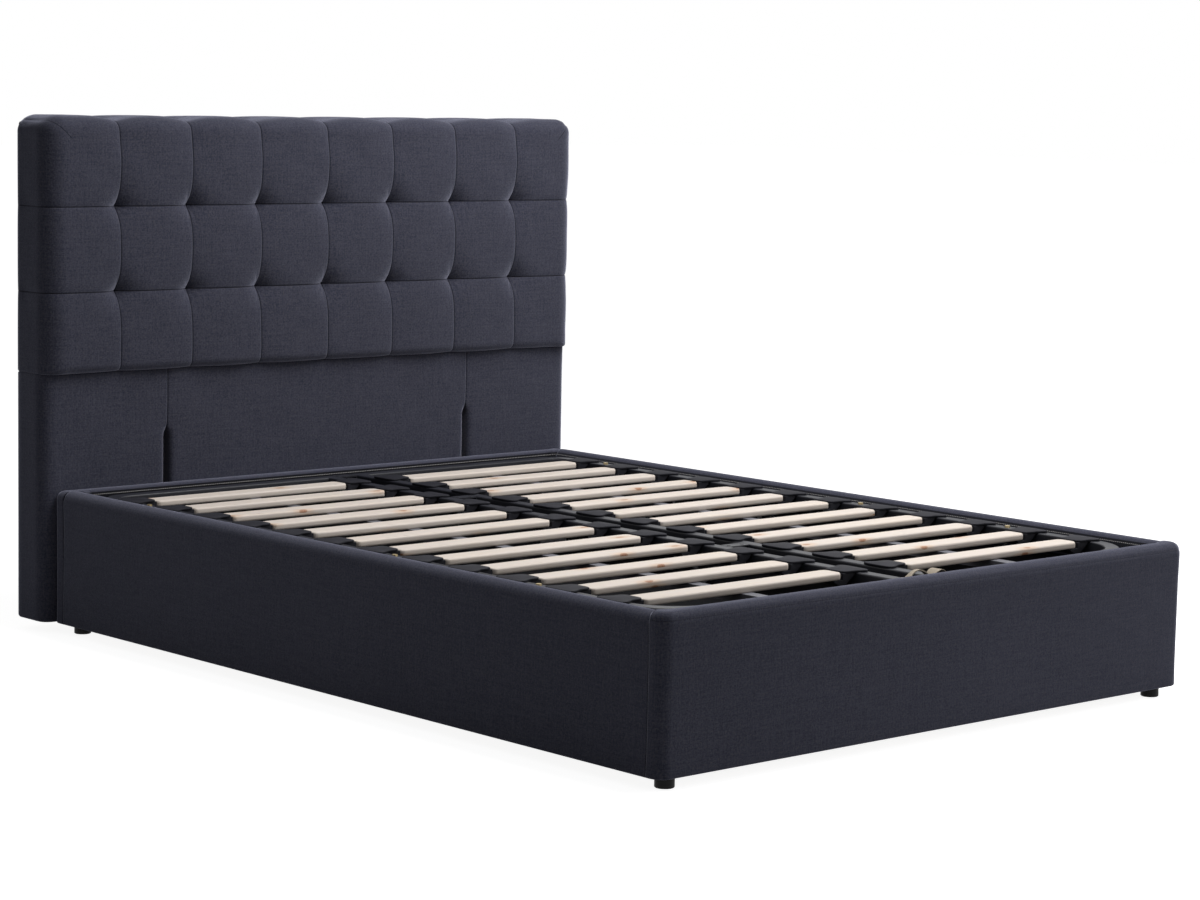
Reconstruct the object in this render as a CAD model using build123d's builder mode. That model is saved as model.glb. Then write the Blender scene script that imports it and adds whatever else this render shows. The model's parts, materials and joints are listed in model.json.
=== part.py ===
"""Upholstered storage bed: padded rail box, tufted headboard and a slatted platform that lifts.

X runs across the bed, Y from the foot end to the headboard, Z up from the floor.
Lengths are in millimetres, angles in degrees.
"""

from build123d import *
import os
from math import atan2, cos, degrees, hypot, radians, sin

# Whole bed
base_width = 1600.0
base_length = 2120.0
rail_height = 320.0
foot_height = 25.0
foot_diameter = 40.0
foot_from_side = 53.0
foot_from_end = 42.0
foot_chamfer = 1.5
corner_radius = 40.0

# Padded rails
board_thickness = 22.0
side_foam = 26.0
top_foam = 20.0
lip_thickness = 2.0
lip_drop = 45.0
crown_outer_round = 16.0
crown_inner_round = 12.0
end_inner_round = 8.0

# Headboard
headboard_overhang = 30.0
headboard_height = 1210.0
headboard_depth = 120.0
panel_sheet = 15.0
side_padding = 20.0
top_padding = 30.0
lower_padding = 40.0
seam_height = 596.5
lower_seam_x = 475.0
lower_pad_round = 10.0
headboard_round = 40.0
headboard_back_round = 6.0
tuft_columns = 8
lower_tuft_row = 790.5
upper_tuft_row = 994.5
panel_crown = 18.0
tuft_proud = 22.0
tuft_depth = 16.0
tuft_mouth = 31.0
tuft_taper = 38.0
pad_tuck = 8.0
top_scallop = 9.0
top_roll = 42.0
roll_lead_share = 0.5
roll_rise_share = 0.27
cloth_thickness = 2.0
cloth_inset = 8.0
stile_width = 60.0
stile_count = 4

# Headboard bolts
headboard_bolt_diameter = 8.0
headboard_bolt_x = 560.0
headboard_bolt_low = 90.0
headboard_bolt_high = 210.0
headboard_bolt_grip = 12.0

# Corner brackets
bracket_leg = 50.0
bracket_sheet = 3.0
bracket_height = 190.0
bracket_base_gap = 55.0
bracket_hole_share = 0.6
bolt_clearance = 0.25
corner_bolt_diameter = 6.0
corner_bolt_spacing = 120.0
bolt_head_height_share = 0.65
bolt_head_width_share = 1.7
bolt_bite = 14.0

# Floor of the storage space
ledger_width = 20.0
ledger_height = 16.0
panel_thickness = 4.0
panel_count = 3
panel_gap = 1.0
beam_width = 60.0
beam_height = 28.0
beam_foot_diameter = 45.0
beam_foot_count = 3

# Platform frame
tube_width = 32.0
tube_height = 30.0
tube_wall = 1.5
foot_bend_radius = 140.0
head_bend_radius = 75.0
tube_top_below_crown = 11.0
rail_to_tube_gap = 14.0
centre_gap_half = 30.0
foot_gap = 12.0
head_gap = 25.0
mid_bar_width = 30.0
mid_bar_height = 20.0
bar_wall = 1.5

# Slats and holders
slat_count = 12
slat_width = 58.0
slat_thickness = 15.0
slat_pitch = 153.4
slat_edge_round = 5.5
slat_proud = 2.0
first_slat_to_tube = 102.3
slat_outer_gap = 38.0
slat_inner_gap = 37.0
holder_cap = 3.5
holder_width = 62.0
holder_tongue = 29.0
holder_round = 20.0
holder_shelf = 26.0
holder_shelf_thickness = 4.0
holder_web_width = 46.0
holder_drop = 24.0
holder_fit = 0.5

# Ties and bolts of the platform
tie_width = 30.0
tie_thickness = 3.0
tie_foot_place = -502.0
tie_middle_place = 435.0
tie_screw_x = 20.0
tie_screw_diameter = 5.0
tie_screw_head = 9.0
tie_screw_head_height = 0.8
tie_screw_length = 12.0
frame_bolt_diameter = 6.0
frame_bolt_head = 13.0
frame_bolt_head_height = 4.0
foot_bolt_place = -670.0
middle_bolt_place = -205.0
head_bolt_place = 716.0

# Pull strap, which runs across the gap between the two halves
strap_width = 28.0
strap_thickness = 1.6
strap_rise = 14.0
strap_tab = 14.0
strap_grip = 40.0
strap_land = 8.0
strap_screw_head = 7.0
strap_screw_head_height = 1.0
strap_screw_diameter = 4.0

# Lift linkage
lift_angle = 64.0
platform_tilt = 34.0
lower_arm_turn_share = 0.88
upper_arm_length = 310.0
pivot_below_tube = 44.0
pivot_from_frame_head = 455.0
arm_width = 26.0
arm_thickness = 5.0
plate_thickness = 4.0
layer_gap = 0.5
pin_diameter = 10.0
pin_running_clearance = 0.05
open_pivot_clearance = 1.0
pin_head_diameter = 18.0
pin_head_height = 1.5
plate_edge = 16.0
heel_ahead = 20.0
heel_above_spring = 32.0
neck_above_pivot = 32.0
flange_overhang = 30.0
bracket_crest_reach = 32.0
base_bolt_shares = ((0.04, 0.34), (-0.08, 0.82), (0.68, 0.22), (0.87, 0.09))

# Gas spring
spring_foot_ahead = 166.0
spring_foot_below = 182.0
spring_top_ahead = 85.0
spring_top_below = 39.0
spring_offset = 12.5
cylinder_diameter = 22.0
cylinder_bore = 19.0
cylinder_guide_length = 14.0
cylinder_cap_length = 10.0
rod_diameter = 10.0
rod_clearance = 0.25
piston_clearance = 0.3
piston_length = 12.0
rod_reveal = 24.0
rod_inside_share = 0.92
eye_diameter = 22.0
eye_width = 11.0
eye_neck = 9.0

# One overrun serves every cut
overrun = 1.0

# Places that follow from the sizes above
half_width = base_width / 2
headboard_width = base_width + 2 * headboard_overhang
foot_y = -(base_length + headboard_depth) / 2
base_back_y = foot_y + base_length
back_y = base_back_y + headboard_depth
rail_bottom = foot_height
crown_z = rail_bottom + rail_height
board_top = crown_z - top_foam
lip_bottom = board_top - lip_drop
board_out_x = half_width - side_foam
board_in_x = board_out_x - board_thickness
inner_x = board_in_x - lip_thickness
foot_seam_y = foot_y + corner_radius
head_seam_y = base_back_y - corner_radius
foot_board_y = foot_y + side_foam
head_board_y = base_back_y - side_foam
foot_inner_y = foot_board_y + board_thickness
head_inner_y = head_board_y - board_thickness
board_corner_radius = corner_radius - side_foam
floor_z = rail_bottom + ledger_height

tube_top = crown_z - tube_top_below_crown
tube_bottom = tube_top - tube_height
tube_out_x = inner_x - rail_to_tube_gap
tube_in_x = tube_out_x - tube_width
frame_foot_y = foot_inner_y + lip_thickness + foot_gap
frame_head_y = head_inner_y - lip_thickness - head_gap
loop_mid_x = (centre_gap_half + tube_out_x) / 2
tube_inner_side = centre_gap_half + tube_width
slat_top = tube_top + slat_proud
slat_bottom = slat_top - slat_thickness
slat_inner_end = tube_inner_side + slat_inner_gap
slat_outer_end = tube_in_x - slat_outer_gap
first_slat_y = frame_foot_y + tube_width + first_slat_to_tube
slat_places = [first_slat_y + slat_pitch * n for n in range(slat_count)]
tie_places = (tie_foot_place, tie_middle_place, frame_head_y - tube_width / 2)
bolt_row_x = (tube_out_x + tube_in_x) / 2
frame_bolt_places = (foot_bolt_place, middle_bolt_place, head_bolt_place)

strap_middle_y = frame_foot_y + tube_width / 2
strap_left = -(centre_gap_half + strap_tab)
strap_land_x = centre_gap_half + strap_land
strap_grip_x = strap_land_x + strap_grip
strap_right = strap_grip_x + strap_tab
strap_screw_places = (
    (strap_left - centre_gap_half) / 2,
    centre_gap_half + strap_land / 2,
    (strap_grip_x + strap_right) / 2,
)

bracket_low = rail_bottom + bracket_base_gap
bracket_middle = bracket_low + bracket_height / 2
bracket_hole_out = bracket_leg * bracket_hole_share
corner_bolt_heights = (
    bracket_middle - corner_bolt_spacing / 2,
    bracket_middle + corner_bolt_spacing / 2,
)
corners = [(sx, ey, t) for sx in (-1, 1) for ey, t in ((foot_inner_y, 1), (head_inner_y, -1))]

# Headboard places
headboard_bottom = rail_bottom
headboard_top = headboard_bottom + headboard_height
headboard_half = headboard_width / 2
seam_z = headboard_bottom + seam_height
pad_back_y = back_y - cloth_thickness
sheet_front_y = base_back_y + lower_padding
sheet_back_y = sheet_front_y + panel_sheet
core_half = headboard_half - side_padding
core_top = headboard_top - top_padding
tuft_rows = (headboard_bottom + lower_tuft_row, headboard_bottom + upper_tuft_row)
headboard_bolt_places = [
    (side * headboard_bolt_x, z) for side in (-1, 1) for z in (headboard_bolt_low, headboard_bolt_high)
]

# Layers of the lift, counted inwards from the rail board
base_plate_x = board_in_x - plate_thickness
upper_arm_x = base_plate_x - layer_gap - arm_thickness
bracket_plate_x = upper_arm_x - layer_gap - plate_thickness
lower_arm_x = bracket_plate_x - layer_gap - arm_thickness
spring_x = lower_arm_x - spring_offset

# Pivots, as (Y, Z). At half lift all four linkage pivots lie on one line, and the two
# lengths below make the linkage exact at three places of the lift.
half_lift = radians(lift_angle) / 2
tilt_share = platform_tilt / lift_angle
exact_turn = half_lift * cos(radians(30))
lower_turn = lower_arm_turn_share
half_sines = sin(exact_turn / 2) * sin((1 + tilt_share) * exact_turn / 2)
lower_sines = sin(lower_turn * exact_turn / 2) * sin((lower_turn + tilt_share) * exact_turn / 2)
lower_arm_length = upper_arm_length * half_sines / lower_sines
offset_sines = sin(tilt_share * exact_turn / 2) * sin((lower_turn + tilt_share) * exact_turn / 2)
short_sines = sin(exact_turn / 2) * sin((1 - lower_turn) * exact_turn / 2)
short_of_joint = upper_arm_length * short_sines / offset_sines
behind_pivot = lower_arm_length + short_of_joint - upper_arm_length

pivot_z = tube_bottom - pivot_below_tube
upper_joint = (frame_head_y - pivot_from_frame_head, pivot_z)
upper_pivot = (upper_joint[0] - upper_arm_length, pivot_z)
lower_pivot = (upper_pivot[0] - behind_pivot * cos(half_lift), pivot_z - behind_pivot * sin(half_lift))
bracket_lean = half_lift * (1 + tilt_share)
lower_joint = (
    upper_joint[0] - short_of_joint * cos(bracket_lean),
    pivot_z - short_of_joint * sin(bracket_lean),
)
lower_rest = half_lift * (1 - lower_turn)
lower_arm_end = (
    lower_pivot[0] + lower_arm_length * cos(lower_rest),
    lower_pivot[1] + lower_arm_length * sin(lower_rest),
)
spring_foot = (upper_pivot[0] + spring_foot_ahead, pivot_z - spring_foot_below)
spring_top = (upper_joint[0] + spring_top_ahead, pivot_z - spring_top_below)
spring_run = (spring_top[0] - spring_foot[0], spring_top[1] - spring_foot[1])
spring_length = hypot(spring_run[0], spring_run[1])
spring_lean = degrees(atan2(spring_run[1], spring_run[0]))

heel = (lower_pivot[0] + heel_ahead, spring_foot[1] + heel_above_spring)
neck = (lower_pivot[0], lower_pivot[1] + neck_above_pivot)
base_bolt_places = [
    (
        heel[0] + (spring_foot[0] - heel[0]) * along,
        spring_foot[1] + (upper_pivot[1] - spring_foot[1]) * up,
    )
    for along, up in base_bolt_shares
]
cylinder_low = eye_diameter / 2 + rod_reveal
cylinder_high = spring_length - eye_diameter / 2 - eye_neck
cylinder_end = cylinder_high - cylinder_cap_length
rod_end = cylinder_low + (cylinder_end - cylinder_low) * rod_inside_share

sides = (("left", -1), ("right", 1))


def save(node, name):
    """Label a finished piece and write its file."""
    node.part.label = name
    export_step(node.part, f"parts/{name}.step")


def mirrored(pairs, side):
    """Turn points given for the right side to the left, where side is -1."""
    return [(side * x, y) for x, y in pairs]


def span_box(low, high, mode=Mode.ADD):
    """A box between two corners."""
    size = [b - a for a, b in zip(low, high)]
    middle = [(a + b) / 2 for a, b in zip(low, high)]
    with Locations(tuple(middle)):
        Box(*size, mode=mode)


def side_plane(x):
    """A plane across the bed at x, whose own axes are Y and Z."""
    return Plane.YZ.offset(x)


def cross_rod(inner, outer, side, place, diameter, mode=Mode.ADD):
    """A round bar along X between two distances from the middle, at a (Y, Z) place."""
    start = min(side * inner, side * outer)
    with BuildSketch(side_plane(start)) as disc:
        with Locations(place):
            Circle(diameter / 2)
    extrude(disc.sketch, amount=outer - inner, mode=mode)


def plan_of_end_board(outer, board, inner, width, radius):
    """Outline of an end board with its two rounded corners, on the current sketch."""
    toward = 1 if inner > outer else -1
    with BuildLine() as outline:
        Line((-width, inner), (-width, board + toward * radius))
        RadiusArc((-width, board + toward * radius), (-width + radius, board), toward * radius)
        Line((-width + radius, board), (width - radius, board))
        RadiusArc((width - radius, board), (width, board + toward * radius), toward * radius)
        Line((width, board + toward * radius), (width, inner))
        Line((width, inner), (-width, inner))
    make_face(outline.edges())


# Rail boards
def side_board(side, name):
    """Upright board of one side rail, between the two end boards."""
    with BuildPart() as node:
        span_box(
            (min(side * board_in_x, side * board_out_x), foot_inner_y, rail_bottom),
            (max(side * board_in_x, side * board_out_x), head_inner_y, board_top),
        )
        for place in base_bolt_places:
            cross_rod(
                board_in_x - overrun,
                board_out_x + overrun,
                side,
                place,
                corner_bolt_diameter + 2 * bolt_clearance,
                Mode.SUBTRACT,
            )
        for end_y, toward in ((foot_inner_y, 1), (head_inner_y, -1)):
            for z in corner_bolt_heights:
                cross_rod(
                    board_in_x - overrun,
                    board_out_x + overrun,
                    side,
                    (end_y + toward * bracket_hole_out, z),
                    corner_bolt_diameter + 2 * bolt_clearance,
                    Mode.SUBTRACT,
                )
    save(node, name)


def end_board(outer, board, inner, name, bolted):
    """Board across one end of the box, with rounded outer corners."""
    with BuildPart() as node:
        with BuildSketch(Plane.XY.offset(rail_bottom)):
            plan_of_end_board(outer, board, inner, board_out_x, board_corner_radius)
        extrude(amount=board_top - rail_bottom)
        low = min(board, inner) - overrun
        with BuildSketch(Plane.XZ.offset(-low)):
            for side in (-1, 1):
                with Locations(*[(side * (board_in_x - bracket_hole_out), z) for z in corner_bolt_heights]):
                    Circle(corner_bolt_diameter / 2 + bolt_clearance)
            if bolted:
                with Locations(*headboard_bolt_places):
                    Circle(headboard_bolt_diameter / 2 + bolt_clearance)
        extrude(amount=-(board_thickness + 2 * overrun), mode=Mode.SUBTRACT)
    save(node, name)


# Padded covers of the rails
def side_cover(side, name):
    """Foam and cloth over one side rail: outer face, crown and a thin inner lip."""
    section = mirrored(
        [
            (inner_x, lip_bottom),
            (inner_x, crown_z),
            (half_width, crown_z),
            (half_width, rail_bottom),
            (board_out_x, rail_bottom),
            (board_out_x, board_top),
            (board_in_x, board_top),
            (board_in_x, lip_bottom),
        ],
        side,
    )
    with BuildPart() as node:
        with BuildSketch(Plane.XZ.offset(-foot_seam_y)):
            with BuildLine():
                Polyline(*section, close=True)
            make_face()
        extrude(amount=-(head_seam_y - foot_seam_y))
        top = node.edges().filter_by(Axis.Y).group_by(Axis.Z)[-1].sort_by(Axis.X)
        if side < 0:
            top = ShapeList(reversed(top))
        fillet(top[0], crown_inner_round)
        top = node.edges().filter_by(Axis.Y).group_by(Axis.Z)[-1].sort_by(Axis.X)
        fillet(top[-1] if side > 0 else top[0], crown_outer_round)
        low_x, high_x = sorted((side * (inner_x - overrun), side * board_in_x))
        for start, stop in ((foot_seam_y, foot_inner_y), (head_inner_y, head_seam_y)):
            low_y = start - overrun if start == foot_seam_y else start
            high_y = stop + overrun if stop == head_seam_y else stop
            span_box((low_x, low_y, lip_bottom - overrun), (high_x, high_y, board_top), Mode.SUBTRACT)
    save(node, name)


def end_cover(outer, board, inner, seam, name, bolted):
    """Foam and cloth over one end rail, turned round both corners as far as the seams."""
    toward = 1 if inner > outer else -1
    lip = inner + toward * lip_thickness
    radius = corner_radius
    with BuildPart() as node:
        with BuildSketch(Plane.XY.offset(rail_bottom)):
            with BuildLine():
                Line((-half_width + radius, outer), (half_width - radius, outer))
                RadiusArc((half_width - radius, outer), (half_width, seam), toward * radius)
                Line((half_width, seam), (inner_x, seam))
                Line((inner_x, seam), (inner_x, lip))
                Line((inner_x, lip), (-inner_x, lip))
                Line((-inner_x, lip), (-inner_x, seam))
                Line((-inner_x, seam), (-half_width, seam))
                RadiusArc((-half_width, seam), (-half_width + radius, outer), toward * radius)
            make_face()
        extrude(amount=rail_height)
        top = node.edges().group_by(Axis.Z)[-1]
        outer_edges = top.filter_by(lambda e: toward * (e.center().Y - seam) < -overrun)
        fillet(outer_edges, crown_outer_round)
        top = node.edges().group_by(Axis.Z)[-1].filter_by(Axis.X).sort_by(Axis.Y)
        fillet(top[-1] if toward > 0 else top[0], end_inner_round)
        with BuildSketch(Plane.XY.offset(rail_bottom)):
            plan_of_end_board(outer, board, inner, board_out_x, board_corner_radius)
        extrude(amount=board_top - rail_bottom, mode=Mode.SUBTRACT)
        low, high = sorted((inner, lip + toward * overrun))
        span_box(
            (-half_width, low, rail_bottom - overrun),
            (half_width, high, lip_bottom),
            Mode.SUBTRACT,
        )
        if bolted:
            with BuildSketch(Plane.XZ.offset(-(inner - overrun))):
                with Locations(*headboard_bolt_places):
                    Circle(headboard_bolt_diameter / 2 + bolt_clearance)
            extrude(amount=-(abs(outer - inner) + 2 * overrun), mode=Mode.SUBTRACT)
    save(node, name)


# Corner brackets, bolts and feet
def hex_bolt(diameter, length, plane, places):
    """Hexagon bolts whose heads sit on the plane, on its normal's side."""
    with BuildSketch(plane) as heads:
        with Locations(*places):
            RegularPolygon(diameter * bolt_head_width_share / 2, 6)
    extrude(heads.sketch, amount=diameter * bolt_head_height_share)
    with BuildSketch(plane) as shanks:
        with Locations(*places):
            Circle(diameter / 2)
    extrude(shanks.sketch, amount=-length)


def corner_brackets():
    """Steel angles inside the four corners of the box."""
    with BuildPart() as node:
        for side, end_y, toward in corners:
            wall = side * board_in_x
            legs = [
                (wall, end_y),
                (wall - side * bracket_leg, end_y),
                (wall - side * bracket_leg, end_y + toward * bracket_sheet),
                (wall - side * bracket_sheet, end_y + toward * bracket_sheet),
                (wall - side * bracket_sheet, end_y + toward * bracket_leg),
                (wall, end_y + toward * bracket_leg),
            ]
            with BuildSketch(Plane.XY.offset(bracket_low)):
                with BuildLine():
                    Polyline(*legs, close=True)
                make_face()
            extrude(amount=bracket_height)
            for z in corner_bolt_heights:
                cross_rod(
                    board_in_x - bracket_sheet - overrun,
                    board_in_x + overrun,
                    side,
                    (end_y + toward * bracket_hole_out, z),
                    corner_bolt_diameter + 2 * bolt_clearance,
                    Mode.SUBTRACT,
                )
                with BuildSketch(Plane.XZ.offset(-(end_y - bracket_sheet - overrun))):
                    with Locations((wall - side * bracket_hole_out, z)):
                        Circle(corner_bolt_diameter / 2 + bolt_clearance)
                extrude(amount=-2 * (bracket_sheet + overrun), mode=Mode.SUBTRACT)
    save(node, "corner_brackets")


def corner_bolts():
    """Bolts through the corner brackets into the boards."""
    length = bracket_sheet + bolt_bite
    with BuildPart() as node:
        for side, end_y, toward in corners:
            face_x = side * (board_in_x - bracket_sheet)
            side_face = Plane(origin=(face_x, 0, 0), x_dir=(0, 1, 0), z_dir=(-side, 0, 0))
            end_face = Plane(
                origin=(0, end_y + toward * bracket_sheet, 0), x_dir=(1, 0, 0), z_dir=(0, toward, 0)
            )
            side_up = 1 if side_face.y_dir.Z > 0 else -1
            end_up = 1 if end_face.y_dir.Z > 0 else -1
            side_y = end_y + toward * bracket_hole_out
            end_x = side * (board_in_x - bracket_hole_out)
            side_places = [(side_y, side_up * z) for z in corner_bolt_heights]
            end_places = [(end_x, end_up * z) for z in corner_bolt_heights]
            hex_bolt(corner_bolt_diameter, length, side_face, side_places)
            hex_bolt(corner_bolt_diameter, length, end_face, end_places)
    save(node, "corner_bolts")


def corner_feet():
    """Round plastic feet under the four corners of the boards."""
    ends = (foot_y + foot_from_end, base_back_y - foot_from_end)
    with BuildPart() as node:
        with BuildSketch():
            with Locations(*[(side * (half_width - foot_from_side), y) for side in (-1, 1) for y in ends]):
                Circle(foot_diameter / 2)
        extrude(amount=foot_height)
        rims = node.edges().filter_by(GeomType.CIRCLE).group_by(Axis.Z)[0]
        chamfer(rims, foot_chamfer)
    save(node, "corner_feet")


# Floor of the storage space
def floor_ledgers():
    """Battens on the inner faces of the four boards that carry the floor panels."""
    with BuildPart() as node:
        for side in (-1, 1):
            low, high = sorted((side * (board_in_x - ledger_width), side * board_in_x))
            span_box((low, foot_inner_y, rail_bottom), (high, head_inner_y, floor_z))
        reach = board_in_x - ledger_width - panel_gap
        for side in (-1, 1):
            low, high = sorted((side * beam_width / 2, side * reach))
            span_box((low, foot_inner_y, rail_bottom), (high, foot_inner_y + ledger_width, floor_z))
            span_box((low, head_inner_y - ledger_width, rail_bottom), (high, head_inner_y, floor_z))
    save(node, "floor_ledgers")


def centre_beam():
    """Beam along the middle below the floor panels."""
    with BuildPart() as node:
        span_box(
            (-beam_width / 2, foot_inner_y, floor_z - beam_height),
            (beam_width / 2, head_inner_y, floor_z),
        )
    save(node, "centre_beam")


def beam_feet():
    """Pads that hold the beam off the floor."""
    run = head_inner_y - foot_inner_y
    places = [foot_inner_y + run * (n + 1) / (beam_foot_count + 1) for n in range(beam_foot_count)]
    with BuildPart() as node:
        with BuildSketch():
            with Locations(*[(0, y) for y in places]):
                Circle(beam_foot_diameter / 2)
        extrude(amount=floor_z - beam_height)
    save(node, "beam_feet")


def floor_panels():
    """Thin panels laid on the ledgers and the beam."""
    run = head_inner_y - foot_inner_y
    pitch = run / panel_count
    names = ("foot", "middle", "head")
    for n in range(panel_count):
        low = foot_inner_y + n * pitch + panel_gap
        high = foot_inner_y + (n + 1) * pitch - panel_gap
        with BuildPart() as node:
            span_box(
                (-(board_in_x - panel_gap), low, floor_z),
                (board_in_x - panel_gap, high, floor_z + panel_thickness),
            )
        save(node, f"floor_panel_{names[n] if n < len(names) else n}")


# Headboard
def headboard_board():
    """Sheet behind the pads."""
    with BuildPart() as node:
        span_box((-core_half, sheet_front_y, headboard_bottom), (core_half, sheet_back_y, core_top))
        with BuildSketch(Plane.XZ.offset(-(sheet_front_y - overrun))):
            with Locations(*headboard_bolt_places):
                Circle(headboard_bolt_diameter / 2 + bolt_clearance)
        extrude(amount=-(panel_sheet + 2 * overrun), mode=Mode.SUBTRACT)
    save(node, "headboard_board")


def headboard_frame():
    """Timber stiles, two rails and bolt blocks behind the sheet, glued up into one frame."""
    pitch = (2 * core_half - stile_width) / (stile_count - 1)
    with BuildPart() as node:
        for z in (headboard_bottom, core_top - stile_width):
            span_box((-core_half, sheet_back_y, z), (core_half, pad_back_y, z + stile_width))
        for n in range(stile_count):
            x = -core_half + n * pitch
            span_box(
                (x, sheet_back_y, headboard_bottom + stile_width),
                (x + stile_width, pad_back_y, core_top - stile_width),
            )
        for side in (-1, 1):
            near, far = headboard_bolt_x - stile_width, headboard_bolt_x + stile_width
            low, high = sorted((side * near, side * far))
            block_low = headboard_bottom + stile_width
            span_box((low, sheet_back_y, block_low), (high, pad_back_y, headboard_bolt_high + stile_width))
        with BuildSketch(Plane.XZ.offset(-(sheet_back_y - overrun))):
            with Locations(*headboard_bolt_places):
                Circle(headboard_bolt_diameter / 2 + bolt_clearance)
        extrude(amount=-(headboard_bolt_grip + overrun + bolt_clearance), mode=Mode.SUBTRACT)
    save(node, "headboard_frame")


def headboard_tufted_pad():
    """Upper pad: rows and columns of crowned panels that meet at deep tuft points."""
    column = headboard_width / tuft_columns
    crown_y = base_back_y - tuft_proud
    groove_y = crown_y + panel_crown
    rows = (seam_z,) + tuft_rows
    back_corner = crown_y + top_roll + pad_tuck
    with BuildPart() as node:
        with BuildSketch(Plane.YZ.offset(-headboard_half)):
            with BuildLine():
                Line((pad_back_y, seam_z), (groove_y + pad_tuck, seam_z))
                start = (groove_y + pad_tuck, seam_z)
                for low, high in zip(rows[:-1], rows[1:]):
                    ThreePointArc(start, (crown_y, (low + high) / 2), (groove_y, high))
                    start = (groove_y, high)
                roll_z = headboard_top - top_roll
                ThreePointArc(start, (crown_y, (start[1] + roll_z) / 2), (crown_y + pad_tuck, roll_z))
                ThreePointArc(
                    (crown_y + pad_tuck, roll_z),
                    (crown_y + top_roll * roll_lead_share, headboard_top - top_roll * roll_rise_share),
                    (back_corner, headboard_top),
                )
                Polyline(
                    (back_corner, headboard_top),
                    (pad_back_y, headboard_top),
                    (pad_back_y, seam_z),
                )
            make_face()
        extrude(amount=headboard_width)
        with BuildSketch(Plane.XY.offset(seam_z)):
            with BuildLine():
                for n in range(tuft_columns):
                    x = -headboard_half + n * column
                    ThreePointArc((x, groove_y), (x + column / 2, crown_y), (x + column, groove_y))
                Polyline(
                    (headboard_half, groove_y),
                    (headboard_half, pad_back_y),
                    (-headboard_half, pad_back_y),
                    (-headboard_half, groove_y),
                )
            make_face()
        extrude(amount=headboard_top - seam_z, mode=Mode.INTERSECT)
        with BuildSketch(Plane.XZ.offset(-(crown_y - overrun))):
            with BuildLine():
                for n in range(tuft_columns):
                    x = -headboard_half + n * column
                    ThreePointArc(
                        (x, headboard_top - top_scallop),
                        (x + column / 2, headboard_top),
                        (x + column, headboard_top - top_scallop),
                    )
                Polyline(
                    (headboard_half, headboard_top - top_scallop),
                    (headboard_half, seam_z),
                    (-headboard_half, seam_z),
                    (-headboard_half, headboard_top - top_scallop),
                )
            make_face()
        extrude(amount=-(back_y - crown_y + overrun), mode=Mode.INTERSECT)
        with BuildSketch(Plane.XY.offset(seam_z)):
            with BuildLine():
                Polyline(
                    (-headboard_half, pad_back_y),
                    (-headboard_half, groove_y + headboard_round),
                )
                RadiusArc(
                    (-headboard_half, groove_y + headboard_round),
                    (-headboard_half + headboard_round + panel_crown, crown_y),
                    headboard_round + panel_crown,
                )
                Line(
                    (-headboard_half + headboard_round + panel_crown, crown_y),
                    (headboard_half - headboard_round - panel_crown, crown_y),
                )
                RadiusArc(
                    (headboard_half - headboard_round - panel_crown, crown_y),
                    (headboard_half, groove_y + headboard_round),
                    headboard_round + panel_crown,
                )
                Polyline(
                    (headboard_half, groove_y + headboard_round),
                    (headboard_half, pad_back_y),
                    (-headboard_half, pad_back_y),
                )
            make_face()
        extrude(amount=headboard_top - seam_z, mode=Mode.INTERSECT)
        span_box(
            (-core_half, sheet_front_y, seam_z - overrun),
            (core_half, back_y + overrun, core_top),
            Mode.SUBTRACT,
        )
        points = [(x * column - headboard_half, z) for x in range(1, tuft_columns) for z in tuft_rows]
        with BuildSketch(Plane.XZ.offset(-(crown_y - overrun))):
            with Locations(*points):
                Circle(tuft_mouth)
        deep = panel_crown + tuft_depth + overrun
        extrude(amount=-deep, taper=tuft_taper, mode=Mode.SUBTRACT)
    save(node, "headboard_tufted_pad")


def lower_pad(low_x, high_x, name, wraps):
    """Plain lower pad between two upright seams; an outer one turns round the side."""
    with BuildPart() as node:
        span_box((low_x, base_back_y, headboard_bottom), (high_x, pad_back_y, seam_z))
        upright = node.edges().filter_by(Axis.Z).group_by(Axis.Y)[0].sort_by(Axis.X)
        if wraps < 0:
            fillet(upright[0], headboard_round)
        if wraps > 0:
            fillet(upright[-1], headboard_round)
        seams = node.edges().filter_by(Axis.Z).group_by(Axis.Y)[0].sort_by(Axis.X)
        if wraps <= 0:
            fillet(seams[-1], lower_pad_round)
            seams = node.edges().filter_by(Axis.Z).group_by(Axis.Y)[0].sort_by(Axis.X)
        if wraps >= 0:
            fillet(seams[0], lower_pad_round)
        span_box(
            (-core_half, sheet_front_y, headboard_bottom - overrun),
            (core_half, back_y + overrun, seam_z + overrun),
            Mode.SUBTRACT,
        )
        with BuildSketch(Plane.XZ.offset(-(base_back_y - overrun))):
            with Locations(*headboard_bolt_places):
                Circle(headboard_bolt_diameter / 2 + bolt_clearance)
        extrude(amount=-(lower_padding + 2 * overrun), mode=Mode.SUBTRACT)
    save(node, name)


def headboard_back_cloth():
    """Dust cloth stretched over the back."""
    with BuildPart() as node:
        with BuildSketch(Plane.XZ.offset(-pad_back_y)):
            with Locations((0, (headboard_bottom + headboard_top) / 2)):
                RectangleRounded(
                    headboard_width - 2 * cloth_inset,
                    headboard_height - 2 * (cloth_inset + top_scallop),
                    headboard_back_round,
                )
        extrude(amount=-cloth_thickness)
    save(node, "headboard_back_cloth")


def headboard_bolts():
    """Bolts from inside the box through the head rail into the headboard."""
    length = sheet_back_y + headboard_bolt_grip - head_inner_y
    face = Plane(origin=(0, head_inner_y, 0), x_dir=(1, 0, 0), z_dir=(0, -1, 0))
    with BuildPart() as node:
        hex_bolt(headboard_bolt_diameter, length, face, headboard_bolt_places)
    save(node, "headboard_bolts")


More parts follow.
